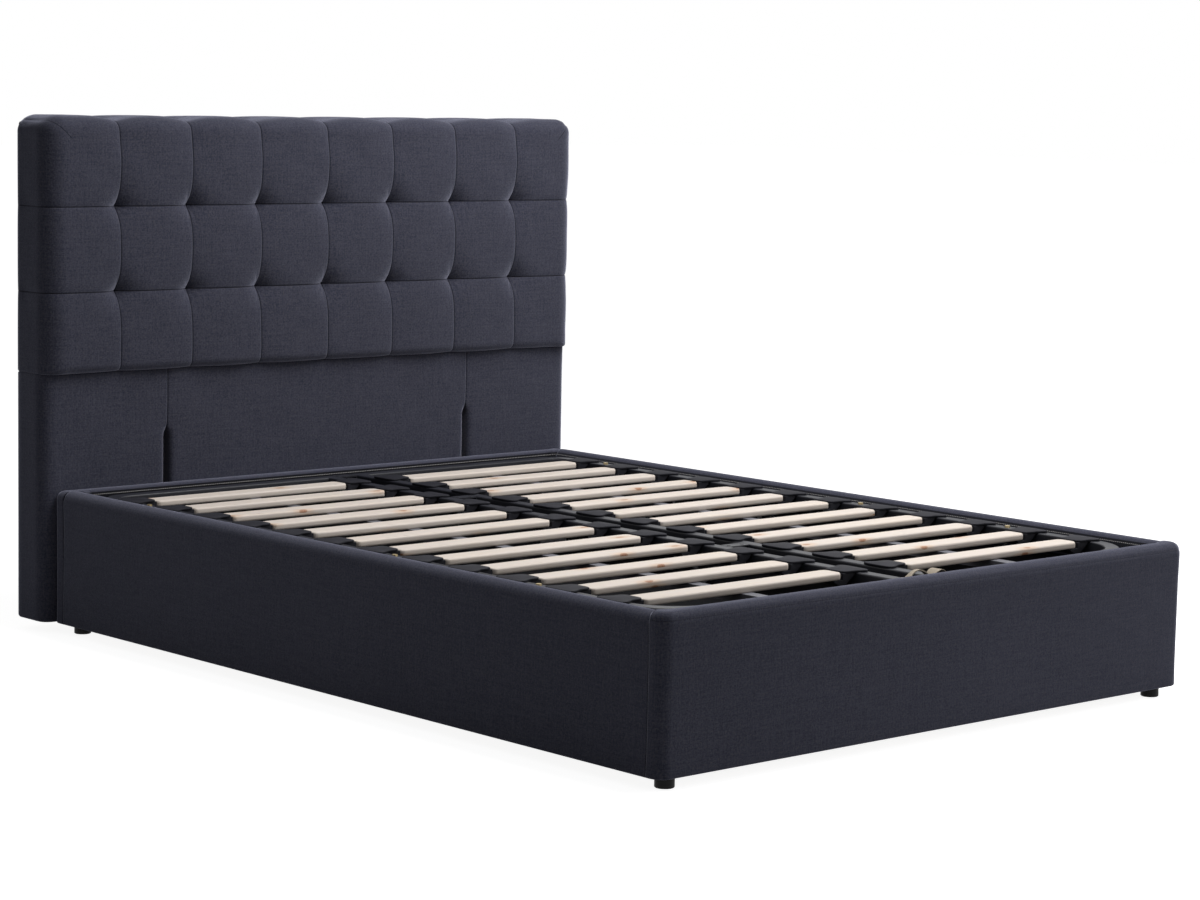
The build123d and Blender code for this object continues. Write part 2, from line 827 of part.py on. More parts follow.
# Platform frame
def loop_face(side, inset, low_z):
    """Ring of one frame loop, drawn in by inset all round: bent outside, mitred at the centre."""
    near = centre_gap_half
    with BuildSketch(Plane.XY.offset(low_z)) as ring:
        for edge, mode in ((inset, Mode.ADD), (tube_width - inset, Mode.SUBTRACT)):
            with BuildSketch(mode=Mode.PRIVATE) as outline:
                with Locations((side * loop_mid_x, (frame_foot_y + frame_head_y) / 2)):
                    Rectangle(tube_out_x - near - 2 * edge, frame_head_y - frame_foot_y - 2 * edge)
                for end, radius in ((0, foot_bend_radius), (-1, head_bend_radius)):
                    bends = outline.vertices().filter_by(lambda v: side * v.X > loop_mid_x)
                    fillet(bends.sort_by(Axis.Y)[end], radius - edge)
            add(outline.sketch, mode=mode)
    return ring.sketch


def frame_loop(side, name):
    """Rectangular tube in a closed loop, hollow, with the bolt holes through it."""
    hollow = tube_height - 2 * tube_wall
    with BuildPart() as node:
        extrude(loop_face(side, 0, tube_bottom), amount=tube_height)
        extrude(loop_face(side, tube_wall, tube_bottom + tube_wall), amount=hollow, mode=Mode.SUBTRACT)
        with BuildSketch(Plane.XY.offset(tube_bottom - overrun)):
            with Locations(*[(side * bolt_row_x, y) for y in frame_bolt_places]):
                Circle(frame_bolt_diameter / 2 + bolt_clearance)
        extrude(amount=tube_height + 2 * overrun, mode=Mode.SUBTRACT)
    save(node, name)


def mid_bar(side, name):
    """Bar along the middle of one half, below the slats."""
    low_y = frame_foot_y + tube_width
    high_y = frame_head_y - tube_width
    middle = side * (slat_inner_end + slat_outer_end) / 2
    with BuildPart() as node:
        span_box(
            (middle - mid_bar_width / 2, low_y, slat_bottom - mid_bar_height),
            (middle + mid_bar_width / 2, high_y, slat_bottom),
        )
        span_box(
            (middle - mid_bar_width / 2 + bar_wall, low_y - overrun, slat_bottom - mid_bar_height + bar_wall),
            (middle + mid_bar_width / 2 - bar_wall, high_y + overrun, slat_bottom - bar_wall),
            Mode.SUBTRACT,
        )
    save(node, name)


def slats(side, name):
    """The slats of one half, with rounded long edges."""
    with BuildPart() as node:
        for y in slat_places:
            low, high = sorted((side * slat_inner_end, side * slat_outer_end))
            with BuildSketch(side_plane(low)):
                with Locations((y + slat_width / 2, (slat_bottom + slat_top) / 2)):
                    RectangleRounded(slat_width, slat_thickness, slat_edge_round)
            extrude(amount=high - low)
    save(node, name)


def slat_holders(side, tube_side, slat_end, name):
    """Plastic holders: a cap on the tube, a gusset beside it and a shelf under the slat end."""
    toward = 1 if slat_end > tube_side else -1
    end = slat_end - toward * holder_fit
    tongue = tube_side - toward * holder_tongue
    web = [
        (tube_side + toward * holder_fit, tube_top),
        (end, tube_top),
        (end, slat_bottom),
        (slat_end + toward * holder_shelf, slat_bottom),
        (slat_end + toward * holder_shelf, slat_bottom - holder_shelf_thickness),
        (end, tube_top - holder_drop - holder_shelf_thickness),
        (end - toward * holder_shelf_thickness, tube_top - holder_drop - holder_shelf_thickness),
        (tube_side + toward * holder_fit, tube_top - holder_shelf_thickness),
    ]
    low, high = sorted((tongue, end))
    with BuildPart() as node:
        for y in slat_places:
            middle = y + slat_width / 2
            with BuildSketch(Plane.XY.offset(tube_top)) as cap:
                with Locations((side * (low + high) / 2, middle)):
                    Rectangle(high - low, holder_width)
                far = cap.vertices().filter_by(lambda v: abs(v.X - side * tongue) < overrun)
                fillet(far, holder_round)
            extrude(amount=holder_cap)
            with BuildSketch(Plane.XZ.offset(-(middle - holder_web_width / 2))):
                with BuildLine():
                    Polyline(*mirrored(web, side), close=True)
                make_face()
            extrude(amount=-holder_web_width)
    save(node, name)


def frame_ties():
    """Flat plates let in between the two loops, level with their tops."""
    with BuildPart() as node:
        for y in tie_places:
            span_box(
                (-centre_gap_half, y - tie_width / 2, tube_top - tie_thickness),
                (centre_gap_half, y + tie_width / 2, tube_top),
            )
            for side in (-1, 1):
                low, high = sorted((side * centre_gap_half, side * (centre_gap_half - tie_thickness)))
                span_box(
                    (low, y - tie_width / 2, tube_bottom),
                    (high, y + tie_width / 2, tube_top - tie_thickness),
                )
        with BuildSketch(Plane.XY.offset(tube_top - tie_thickness - overrun)):
            with Locations(*[(side * tie_screw_x, y) for y in tie_places for side in (-1, 1)]):
                Circle(tie_screw_diameter / 2 + bolt_clearance)
        extrude(amount=tie_thickness + 2 * overrun, mode=Mode.SUBTRACT)
    save(node, "frame_ties")


def tie_screws():
    """Two low round-headed screws in each tie."""
    places = [(side * tie_screw_x, y) for y in tie_places for side in (-1, 1)]
    with BuildPart() as node:
        with BuildSketch(Plane.XY.offset(tube_top)):
            with Locations(*places):
                Circle(tie_screw_head / 2)
        extrude(amount=tie_screw_head_height)
        with BuildSketch(Plane.XY.offset(tube_top - tie_screw_length)):
            with Locations(*places):
                Circle(tie_screw_diameter / 2)
        extrude(amount=tie_screw_length)
    save(node, "tie_screws")


def frame_bolts():
    """Zinc bolts down through the side tubes; two of each three also hold the lift bracket."""
    shank = tube_height + plate_thickness + frame_bolt_head_height
    with BuildPart() as node:
        with BuildSketch(Plane.XY.offset(tube_top)):
            with Locations(*[(side * bolt_row_x, y) for side in (-1, 1) for y in frame_bolt_places]):
                RegularPolygon(frame_bolt_head / 2, 6)
        extrude(amount=frame_bolt_head_height)
        with BuildSketch(Plane.XY.offset(tube_top - shank)):
            with Locations(*[(side * bolt_row_x, y) for side in (-1, 1) for y in frame_bolt_places]):
                Circle(frame_bolt_diameter / 2)
        extrude(amount=shank)
    save(node, "frame_bolts")


def pull_strap():
    """Webbing screwed to both foot tubes: one arch over the centre gap and one beside it."""
    low = tube_top + strap_thickness / 2
    high = low + strap_rise
    with BuildPart() as node:
        with BuildSketch(Plane.XZ.offset(-(strap_middle_y - strap_width / 2))):
            with BuildLine() as path:
                Line((strap_left, low), (-centre_gap_half, low))
                ThreePointArc((-centre_gap_half, low), (0, high), (centre_gap_half, low))
                Line((centre_gap_half, low), (strap_land_x, low))
                arch_x = (strap_land_x + strap_grip_x) / 2
                ThreePointArc((strap_land_x, low), (arch_x, high), (strap_grip_x, low))
                Line((strap_grip_x, low), (strap_right, low))
            trace(line_width=strap_thickness)
        extrude(amount=-strap_width)
        with BuildSketch(Plane.XY.offset(tube_top - overrun)):
            with Locations(*[(x, strap_middle_y) for x in strap_screw_places]):
                Circle(strap_screw_diameter / 2)
        extrude(amount=strap_thickness + 2 * overrun, mode=Mode.SUBTRACT)
    save(node, "pull_strap")


def strap_screws():
    """Screws that hold the strap down."""
    head_z = tube_top + strap_thickness
    with BuildPart() as node:
        with BuildSketch(Plane.XY.offset(head_z)):
            with Locations(*[(x, strap_middle_y) for x in strap_screw_places]):
                Circle(strap_screw_head / 2)
        extrude(amount=strap_screw_head_height)
        with BuildSketch(Plane.XY.offset(tube_top)):
            with Locations(*[(x, strap_middle_y) for x in strap_screw_places]):
                Circle(strap_screw_diameter / 2)
        extrude(amount=strap_thickness)
    save(node, "strap_screws")


# Lift linkage
def hull_plate(circles, x, thickness):
    """Flat plate across X whose outline is the hull of circles, given as (place, radius)."""
    with BuildSketch(side_plane(x)) as outline:
        for place, radius in circles:
            with Locations(place):
                Circle(radius)
        make_hull(outline.edges())
    extrude(outline.sketch, amount=thickness)


def side_start(side, inner, thickness):
    """Lowest X of a layer that starts at inner on the right side, or its mirror on the left."""
    return inner if side > 0 else -(inner + thickness)


def lift_base_plate(side, name):
    """Steel plate on the side board that carries both arm pivots and the spring's foot."""
    x = side_start(side, base_plate_x, plate_thickness)
    rounds = [(place, plate_edge) for place in (upper_pivot, lower_pivot, spring_foot, heel, neck)]
    with BuildPart() as node:
        hull_plate(rounds, x, plate_thickness)
        for place in base_bolt_places:
            cross_rod(
                base_plate_x - overrun,
                board_in_x + overrun,
                side,
                place,
                corner_bolt_diameter + 2 * bolt_clearance,
                Mode.SUBTRACT,
            )
        for place in (upper_pivot, lower_pivot, spring_foot):
            cross_rod(base_plate_x - overrun, board_in_x + overrun, side, place, pin_diameter, Mode.SUBTRACT)
    save(node, name)


def base_plate_bolts():
    """Bolts that hold the base plates to the side boards."""
    with BuildPart() as node:
        for side in (-1, 1):
            face = Plane(origin=(side * base_plate_x, 0, 0), x_dir=(0, 1, 0), z_dir=(-side, 0, 0))
            flip = 1 if face.y_dir.Z > 0 else -1
            places = [(y, flip * z) for y, z in base_bolt_places]
            hex_bolt(corner_bolt_diameter, plate_thickness + bolt_bite, face, places)
    save(node, "base_plate_bolts")


def base_pins():
    """Pivot pins riveted in the base plates, each with a head over what turns on it."""
    with BuildPart() as node:
        for side in (-1, 1):
            for place, inner in (
                (upper_pivot, upper_arm_x - layer_gap / 2),
                (lower_pivot, lower_arm_x - layer_gap / 2),
                (spring_foot, spring_x - eye_width / 2 - layer_gap),
            ):
                cross_rod(inner, board_in_x, side, place, pin_diameter)
                head = pin_head_height if place != upper_pivot else layer_gap
                cross_rod(inner - head, inner, side, place, pin_head_diameter)
    save(node, "base_pins")


def arm(side, start, finish, inner, holes, name):
    """Flat bar with rounded ends and a bore at each end."""
    x = side_start(side, inner, arm_thickness)
    with BuildPart() as node:
        hull_plate([(start, arm_width / 2), (finish, arm_width / 2)], x, arm_thickness)
        for place, diameter in zip((start, finish), holes):
            cross_rod(
                inner - overrun, inner + arm_thickness + overrun, side, place, diameter, Mode.SUBTRACT
            )
    save(node, name)


def platform_bracket(side, name):
    """Steel angle under the side tube, deepened into a plate that carries the three upper pivots."""
    x = side_start(side, bracket_plate_x, plate_thickness)
    flange_z = tube_bottom - plate_thickness
    low_y = middle_bolt_place - flange_overhang
    high_y = head_bolt_place + flange_overhang
    crest_low = (lower_joint[0] - bracket_crest_reach, flange_z)
    crest_high = (spring_top[0] + bracket_crest_reach, flange_z)
    rounds = [(place, plate_edge) for place in (upper_joint, lower_joint, spring_top)]
    rounds += [(place, plate_thickness / 2) for place in (crest_low, crest_high)]
    with BuildPart() as node:
        hull_plate(rounds, x, plate_thickness)
        low, high = sorted((side * tube_in_x, side * (bracket_plate_x + plate_thickness)))
        span_box((low, low_y, flange_z), (high, high_y, tube_bottom))
        span_box((x, low_y, tube_bottom), (x + plate_thickness, high_y, crown_z), Mode.SUBTRACT)
        for y in (middle_bolt_place, head_bolt_place):
            with BuildSketch(Plane.XY.offset(flange_z - overrun)):
                with Locations((side * bolt_row_x, y)):
                    Circle(frame_bolt_diameter / 2 + bolt_clearance)
            extrude(amount=plate_thickness + 2 * overrun, mode=Mode.SUBTRACT)
        for place in (upper_joint, lower_joint, spring_top):
            cross_rod(
                bracket_plate_x - overrun,
                bracket_plate_x + plate_thickness + overrun,
                side,
                place,
                pin_diameter,
                Mode.SUBTRACT,
            )
    save(node, name)


def bracket_pins():
    """Pivot pins riveted in the platform brackets."""
    plate_out = bracket_plate_x + plate_thickness
    with BuildPart() as node:
        for side in (-1, 1):
            head_low = upper_arm_x + arm_thickness + layer_gap / 2
            head_high = head_low + pin_head_height
            cross_rod(bracket_plate_x, head_low, side, upper_joint, pin_diameter)
            cross_rod(head_low, head_high, side, upper_joint, pin_head_diameter)
            lower_in = lower_arm_x - layer_gap / 2
            cross_rod(lower_in, plate_out, side, lower_joint, pin_diameter)
            cross_rod(lower_in - pin_head_height, lower_in, side, lower_joint, pin_head_diameter)
            spring_in = spring_x - eye_width / 2 - layer_gap
            cross_rod(spring_in, plate_out, side, spring_top, pin_diameter)
            cross_rod(spring_in - pin_head_height, spring_in, side, spring_top, pin_head_diameter)
    save(node, "bracket_pins")


# Gas springs
def spring_plane(side, along):
    """Plane square to the spring's axis, a distance along it from its foot."""
    lean = radians(spring_lean)
    centre = (side * spring_x, spring_foot[0] + along * cos(lean), spring_foot[1] + along * sin(lean))
    return Plane(origin=centre, x_dir=(1, 0, 0), z_dir=(0, cos(lean), sin(lean)))


def spring_bar(side, low, high, diameter, mode=Mode.ADD):
    """A round length of the spring, between two distances along it from its foot."""
    with BuildSketch(spring_plane(side, low)) as disc:
        Circle(diameter / 2)
    extrude(disc.sketch, amount=high - low, mode=mode)


def spring_eye(side, place):
    """Eye of the spring on its pin."""
    cross_rod(spring_x - eye_width / 2, spring_x + eye_width / 2, side, place, eye_diameter)


def eye_bore(side, place):
    """Running bore of an eye."""
    cross_rod(
        spring_x - eye_width / 2 - overrun,
        spring_x + eye_width / 2 + overrun,
        side,
        place,
        pin_diameter + 2 * pin_running_clearance,
        Mode.SUBTRACT,
    )


def gas_cylinder(side, name):
    """Cylinder with a guide at its mouth and an eye on the platform bracket."""
    bore_low = cylinder_low + cylinder_guide_length
    with BuildPart() as node:
        spring_bar(side, cylinder_low, cylinder_high, cylinder_diameter)
        spring_bar(side, cylinder_end, spring_length, rod_diameter)
        spring_eye(side, spring_top)
        spring_bar(side, bore_low, cylinder_end, cylinder_bore, Mode.SUBTRACT)
        guide_bore = rod_diameter + 2 * rod_clearance
        spring_bar(side, cylinder_low - overrun, bore_low + overrun, guide_bore, Mode.SUBTRACT)
        eye_bore(side, spring_top)
    save(node, name)


def gas_rod(side, name):
    """Rod with its piston inside the cylinder and an eye on the base plate."""
    with BuildPart() as node:
        spring_eye(side, spring_foot)
        spring_bar(side, 0, rod_end, rod_diameter)
        spring_bar(side, rod_end - piston_length, rod_end, cylinder_bore - 2 * piston_clearance)
        eye_bore(side, spring_foot)
    save(node, name)


def main():
    """Make every piece."""
    os.makedirs("parts", exist_ok=True)
    bore = pin_diameter + 2 * pin_running_clearance
    open_bore = pin_diameter + 2 * open_pivot_clearance
    for word, side in sides:
        side_board(side, f"side_board_{word}")
        side_cover(side, f"side_cover_{word}")
        frame_loop(side, f"frame_loop_{word}")
        mid_bar(side, f"mid_bar_{word}")
        slats(side, f"slats_{word}")
        slat_holders(side, tube_in_x, slat_outer_end, f"slat_holders_outer_{word}")
        slat_holders(side, tube_inner_side, slat_inner_end, f"slat_holders_inner_{word}")
        lift_base_plate(side, f"lift_base_plate_{word}")
        arm(side, upper_pivot, upper_joint, upper_arm_x, (bore, bore), f"upper_arm_{word}")
        arm(side, lower_pivot, lower_arm_end, lower_arm_x, (bore, open_bore), f"lower_arm_{word}")
        platform_bracket(side, f"platform_bracket_{word}")
        gas_cylinder(side, f"gas_cylinder_{word}")
        gas_rod(side, f"gas_rod_{word}")
    end_board(foot_y, foot_board_y, foot_inner_y, "foot_board", False)
    end_board(base_back_y, head_board_y, head_inner_y, "head_board", True)
    end_cover(foot_y, foot_board_y, foot_inner_y, foot_seam_y, "foot_cover", False)
    end_cover(base_back_y, head_board_y, head_inner_y, head_seam_y, "head_cover", True)
    corner_brackets()
    corner_bolts()
    corner_feet()
    floor_ledgers()
    centre_beam()
    beam_feet()
    floor_panels()
    headboard_board()
    headboard_frame()
    headboard_tufted_pad()
    lower_pad(-headboard_half, -lower_seam_x, "headboard_lower_pad_left", -1)
    lower_pad(-lower_seam_x, lower_seam_x, "headboard_lower_pad_centre", 0)
    lower_pad(lower_seam_x, headboard_half, "headboard_lower_pad_right", 1)
    headboard_back_cloth()
    headboard_bolts()
    frame_ties()
    tie_screws()
    frame_bolts()
    pull_strap()
    strap_screws()
    base_plate_bolts()
    base_pins()
    bracket_pins()


main()
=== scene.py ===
"""Upholstered storage bed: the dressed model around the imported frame.

X runs across the bed, Y from the foot end to the headboard, Z up from the floor, in metres.
"""

import json
import math

import bmesh
import bpy
import numpy as np
from mathutils import Matrix

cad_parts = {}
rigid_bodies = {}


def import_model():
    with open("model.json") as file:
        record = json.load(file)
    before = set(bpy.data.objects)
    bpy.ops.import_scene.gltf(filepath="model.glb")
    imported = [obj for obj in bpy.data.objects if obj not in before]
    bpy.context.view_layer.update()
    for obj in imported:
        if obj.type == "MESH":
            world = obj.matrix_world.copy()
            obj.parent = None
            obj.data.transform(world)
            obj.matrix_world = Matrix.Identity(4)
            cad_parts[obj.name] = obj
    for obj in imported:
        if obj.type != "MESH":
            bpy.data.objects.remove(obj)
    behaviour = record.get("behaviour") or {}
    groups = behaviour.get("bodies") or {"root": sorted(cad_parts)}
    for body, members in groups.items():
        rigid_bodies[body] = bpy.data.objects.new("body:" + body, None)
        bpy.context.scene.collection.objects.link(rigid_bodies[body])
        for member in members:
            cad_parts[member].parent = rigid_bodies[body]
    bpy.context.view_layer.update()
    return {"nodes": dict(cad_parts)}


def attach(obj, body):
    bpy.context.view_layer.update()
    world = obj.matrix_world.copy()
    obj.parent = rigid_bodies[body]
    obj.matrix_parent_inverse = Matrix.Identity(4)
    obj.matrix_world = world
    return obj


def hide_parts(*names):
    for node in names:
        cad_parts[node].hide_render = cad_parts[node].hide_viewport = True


bl_info = {
    "name": "Upholstered storage bed",
    "version": (1, 0, 0),
    "blender": (4, 5, 0),
    "location": "3D View > Sidebar > Bed",
    "description": "Builds the cloth, slats, finishes and stage of a storage bed around its frame",
    "category": "Object",
}

for stray in list(bpy.data.objects):
    bpy.data.objects.remove(stray)
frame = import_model()
NODES = frame["nodes"]
QUARTER = math.pi / 2


class BedSizes(bpy.types.PropertyGroup):
    """Sizes of the soft and fine forms, which the frame doesn't set."""

    tuft_depth: bpy.props.FloatProperty(
        name="Tuft depth", description="How far a tuft is pulled in from the seams",
        default=0.033, min=0, max=0.04, unit="LENGTH")
    tuft_reach: bpy.props.FloatProperty(
        name="Tuft reach", description="How far the pull of a tuft spreads over the cloth",
        default=0.0295, min=0.005, max=0.06, unit="LENGTH")
    panel_crown: bpy.props.FloatProperty(
        name="Panel crown", description="How far a sewn panel swells out from its seams",
        default=0.0045, min=0, max=0.02, unit="LENGTH")
    seam_roll: bpy.props.FloatProperty(
        name="Seam roll", description="Width over which a panel curves down to its seam",
        default=0.011, min=0.002, max=0.05, unit="LENGTH")
    scallop: bpy.props.FloatProperty(
        name="Top scallop", description="How far the seams pull in the top edge",
        default=0.009, min=0, max=0.02, unit="LENGTH")
    slit: bpy.props.FloatProperty(
        name="Slit", description="Half width of the open slits between the lower pads",
        default=0.0085, min=0, max=0.012, unit="LENGTH")


class BedColours(bpy.types.PropertyGroup):
    """Colours of the finishes."""

    warp: bpy.props.FloatVectorProperty(
        name="Warp thread", description="Dark thread of the upholstery cloth", subtype="COLOR",
        default=(0.0195, 0.0215, 0.035), min=0, max=1)
    weft: bpy.props.FloatVectorProperty(
        name="Weft thread", description="Pale thread of the upholstery cloth", subtype="COLOR",
        default=(0.051, 0.051, 0.069), min=0, max=1)
    slub: bpy.props.FloatVectorProperty(
        name="Slub", description="Warm flecks in the upholstery cloth", subtype="COLOR",
        default=(0.060, 0.055, 0.056), min=0, max=1)
    pine: bpy.props.FloatVectorProperty(
        name="Pine", description="Planed slats", subtype="COLOR",
        default=(0.55, 0.495, 0.452), min=0, max=1)
    knot: bpy.props.FloatVectorProperty(
        name="Knot", description="Knots in the slats", subtype="COLOR",
        default=(0.24, 0.10, 0.045), min=0, max=1)
    paint: bpy.props.FloatVectorProperty(
        name="Frame paint", description="Powder coat of the steel frame", subtype="COLOR",
        default=(0.013, 0.0135, 0.018), min=0, max=1)
    moulding: bpy.props.FloatVectorProperty(
        name="Holders", description="Plastic of the slat holders", subtype="COLOR",
        default=(0.012, 0.012, 0.016), min=0, max=1)
    webbing: bpy.props.FloatVectorProperty(
        name="Webbing", description="Pull strap", subtype="COLOR",
        default=(0.42, 0.36, 0.28), min=0, max=1)


# Places and sizes of the frame, in metres
SIDES = (("left", -1.0), ("right", 1.0))
RAIL_HALF, RAIL_WIDTH, RAIL_LOW, RAIL_TOP = 0.80, 0.05, 0.025, 0.345
FOOT_Y, FOOT_SEAM_Y, HEAD_SEAM_Y, HEAD_Y = -1.12, -1.08, 0.96, 1.0
RAIL_MIDDLE_Y = (FOOT_Y + HEAD_Y) / 2
STITCH_Z = 0.3325
SEAM_Z = 0.6215
PAD_FRONT, PAD_BACK, PAD_HALF, PAD_TOP = 0.978, 1.1175, 0.830, 1.235
COLUMN = 0.2075
TUFTS_X = [COLUMN * n for n in range(-3, 4)]
TUFTS_Z = [0.8155, 1.0195]
SLIT_X = 0.475
SLAT_COUNT, SLAT_PITCH, FIRST_SLAT = 12, 0.1534, -0.8947
SLAT_NEAR, SLAT_FAR, SLAT_Z = 0.099, 0.666, 0.3285
TUBE_WIDTH, TUBE_LOW, TUBE_TOP = 0.032, 0.304, 0.334
TUBE_NEAR, TUBE_FAR, TUBE_FOOT, TUBE_HEAD = 0.030, 0.736, -1.058, 0.925

# Edge radii of the headboard's pads, and the cloth tucked in behind them
SIDE_ROLL, TOP_ROLL, LOWER_ROLL, BACK_ROLL, TUCK = 0.052, 0.040, 0.032, 0.003, 0.012

# Near black for dark thread and for the painted shade along seams
THREAD_AND_SEAM_SHADE = (0.004, 0.004, 0.006)


def turned_back(radius, front):
    """Straight run and whole length of the cloth that turns back from a pad's front.

    The length is a quarter turn of the edge radius, the run, a quarter turn of the back radius
    and the tuck.
    """
    run = PAD_BACK - front - radius - BACK_ROLL
    return run, (radius + BACK_ROLL) * QUARTER + run + TUCK


SIDE_RUN, SIDE_LONG = turned_back(SIDE_ROLL, PAD_FRONT)
TOP_RUN, TOP_LONG = turned_back(TOP_ROLL, PAD_FRONT)
LOWER_RUN, LOWER_LONG = turned_back(LOWER_ROLL, HEAD_Y)


# Shader values


class Value:
    """A shader value. An operator on it adds a Math node."""

    def __init__(self, finish, socket):
        self.finish, self.socket = finish, socket

    def maths(self, operation, *others):
        """A Math node with this value in its first socket and the others after it."""
        values = dict(enumerate((self, *others)))
        return self.finish.node("ShaderNodeMath", {"operation": operation}, values)

    def __add__(self, other):
        return self.maths("ADD", other)

    def __sub__(self, other):
        return self.maths("SUBTRACT", other)

    def __mul__(self, other):
        return self.maths("MULTIPLY", other)

    def __rsub__(self, other):
        return self.finish.node("ShaderNodeMath", {"operation": "SUBTRACT"}, {0: other, 1: self})

    __radd__ = __add__
    __rmul__ = __mul__

    def above(self, limit, soft):
        """0 below the limit and 1 past limit plus soft, with a smooth step between."""
        return self.finish.node(
            "ShaderNodeMapRange", {"interpolation_type": "SMOOTHSTEP"},
            {0: self, 1: limit, 2: limit + soft, 3: 0.0, 4: 1.0})

    def near(self, half, soft):
        """1 within half of zero and 0 past half plus soft, with a smooth step between."""
        return 1.0 - self.maths("ABSOLUTE").above(half, soft)


class Finish:
    """A material under construction."""

    def __init__(self, name):
        self.material = bpy.data.materials.new(name)
        self.material.use_nodes = True
        self.tree = self.material.node_tree
        self.tree.nodes.clear()

    def node(self, kind, settings=None, sockets=None, out=0):
        """Adds a node: its settings, then the values or links of its sockets. Gives an output."""
        made = self.tree.nodes.new(kind)
        for key, setting in (settings or {}).items():
            setattr(made, key, setting)
        for key, value in (sockets or {}).items():
            socket = made.inputs[key]
            if isinstance(value, Value):
                self.tree.links.new(value.socket, socket)
            elif hasattr(value, "__len__") and len(value) == 3 and socket.type == "RGBA":
                socket.default_value = (*value, 1.0)
            else:
                socket.default_value = value
        return Value(self, made.outputs[out]) if made.outputs else None

    def place(self, x, y, z=0.0):
        """A vector of three values."""
        return self.node("ShaderNodeCombineXYZ", None, {0: x, 1: y, 2: z})

    def split(self, vector):
        """The three values of a vector."""
        return [self.node("ShaderNodeSeparateXYZ", None, {0: vector}, axis) for axis in range(3)]

    def cloth_place(self, layer):
        """The two surface coordinates of a UV layer, in metres."""
        return self.split(self.node("ShaderNodeUVMap", {"uv_map": layer}))[:2]

    def object_place(self):
        """The place on the piece in metres."""
        return self.node("ShaderNodeTexCoord", None, None, 3)

    def noise(self, vector, scale=1.0, detail=2.0, rough=0.5):
        """Cloudy noise about 0.5, whose spots are about 1 over the scale wide."""
        return self.node(
            "ShaderNodeTexNoise", None,
            {"Vector": vector, "Scale": scale, "Detail": detail, "Roughness": rough})

    def mix(self, share, first, second):
        """A colour that moves from the first to the second with the share."""
        return self.node(
            "ShaderNodeMix", {"data_type": "RGBA"}, {0: share, 6: first, 7: second}, 2)

    def bump(self, height, strength, distance):
        """A normal turned by the slope of the height."""
        return self.node(
            "ShaderNodeBump", None, {"Height": height, "Strength": strength, "Distance": distance})

    def surface(self, **sockets):
        """The shader itself, from socket names with underscores for spaces."""
        named = {key.replace("_", " "): value for key, value in sockets.items()}
        shader = self.node("ShaderNodeBsdfPrincipled", None, named)
        self.node("ShaderNodeOutputMaterial", None, {0: shader})
        return self.material


def upholstery(name, sewn=""):
    """Linen-look cloth: crossed threads of two colours with long slubs, on the Weave layer.

    The colour moves from warp to weft with the sum of noises drawn out along each thread
    direction. sewn is tufts, rail or foot, for painted seam shade and stitches, or empty.
    """
    look = bpy.context.scene.bed_colours
    cloth = Finish(name)
    u, v = cloth.cloth_place("Weave")
    # Scales per metre along and across the threads, along and across the slubs, and of flecks
    along, over, slub_along, slub_over, fleck = 150.0, 760.0, 17.0, 330.0, 210.0
    thread_pitch = 0.0021
    lying = cloth.noise(cloth.place(u * along, v * over, 3.1))
    standing = cloth.noise(cloth.place(u * over, v * along, 7.7))
    slub_lying = cloth.noise(cloth.place(u * slub_along, v * slub_over, 1.3), detail=1.0)
    slub_standing = cloth.noise(cloth.place(u * slub_over, v * slub_along, 5.2), detail=1.0)
    melange = cloth.noise(cloth.place(u * fleck, v * fleck, 9.0))
    weave = (lying + standing) * 1.1 - 0.6
    slubs = (slub_lying + slub_standing) * 0.85 - 0.85
    share = (weave + slubs * 0.5 + (melange - 0.5) * 0.5).above(0.05, 0.9)
    colour = cloth.mix(share, tuple(look.warp), tuple(look.weft))
    warm = (melange - 0.55).above(0.0, 0.14) * 0.4
    colour = cloth.mix(warm, colour, tuple(look.slub))
    thread_u, thread_v = ((way * (2 * math.pi / thread_pitch)).maths("SINE") for way in (u, v))
    height = (lying + standing) * 0.6 + (slub_lying + slub_standing) * 0.5
    height = height + thread_u * thread_v * 0.25
    if sewn == "tufts":
        # Painted shade darkens the cloth along the tuft seams and the mitres
        line = tuft_seam_shade(u, v)
        colour = cloth.mix(line * 0.8, colour, THREAD_AND_SEAM_SHADE)
        height = height - line * 1.2
    if sewn == "foot":
        # Dark stitches along the sewn line, over a steady painted shade of its crease
        line = v.near(0.0005, 0.0009)
        dash = dashes(u, 0.0052, 0.30, 0.08)
        colour = cloth.mix(line * (dash * 0.35 + 0.15), colour, THREAD_AND_SEAM_SHADE)
        height = height - line * (0.3 + dash * 0.6)
    if sewn in ("foot", "rail"):
        colour = rail_shade_and_stitches(cloth, colour)
    return cloth.surface(
        Base_Color=colour, Roughness=0.95, Specular_IOR_Level=0.06, Sheen_Weight=0.66,
        Sheen_Roughness=0.40, Sheen_Tint=(0.66, 0.68, 0.86, 1.0),
        Normal=cloth.bump(height, 0.35, 0.0006))


def dashes(way, pitch, gap, soft):
    """A row of stitches along a value: 0 over the gap's share of each pitch, then 1."""
    return (way * (1 / pitch)).maths("FRACT").above(gap, soft)


def tuft_seam_shade(u, v):
    """Painted shade along the seams on the grid of the tufts, and along the mitre seams over both
    top corners.

    A mitre runs where the cloth has turned back by equal shares of its side and top lengths.
    """
    line_half, mitre_half, soft = 0.0008, 0.0007, 0.0012
    in_column = u * (1 / COLUMN)
    line = ((in_column - in_column.maths("ROUND")) * COLUMN).near(line_half, soft)
    line = line * u.near(3.5 * COLUMN, 0.001)
    for z in TUFTS_Z:
        line = line.maths("MAXIMUM", (v - z).near(line_half, soft))
    in_side = (u.maths("ABSOLUTE") - (PAD_HALF - SIDE_ROLL)) * (1 / SIDE_LONG)
    in_top = (v - (PAD_TOP - TOP_ROLL)) * (1 / TOP_LONG)
    mitre = ((in_side - in_top) * TOP_LONG).near(mitre_half, soft)
    return line.maths("MAXIMUM", mitre * in_side.above(-0.09, 0.03))


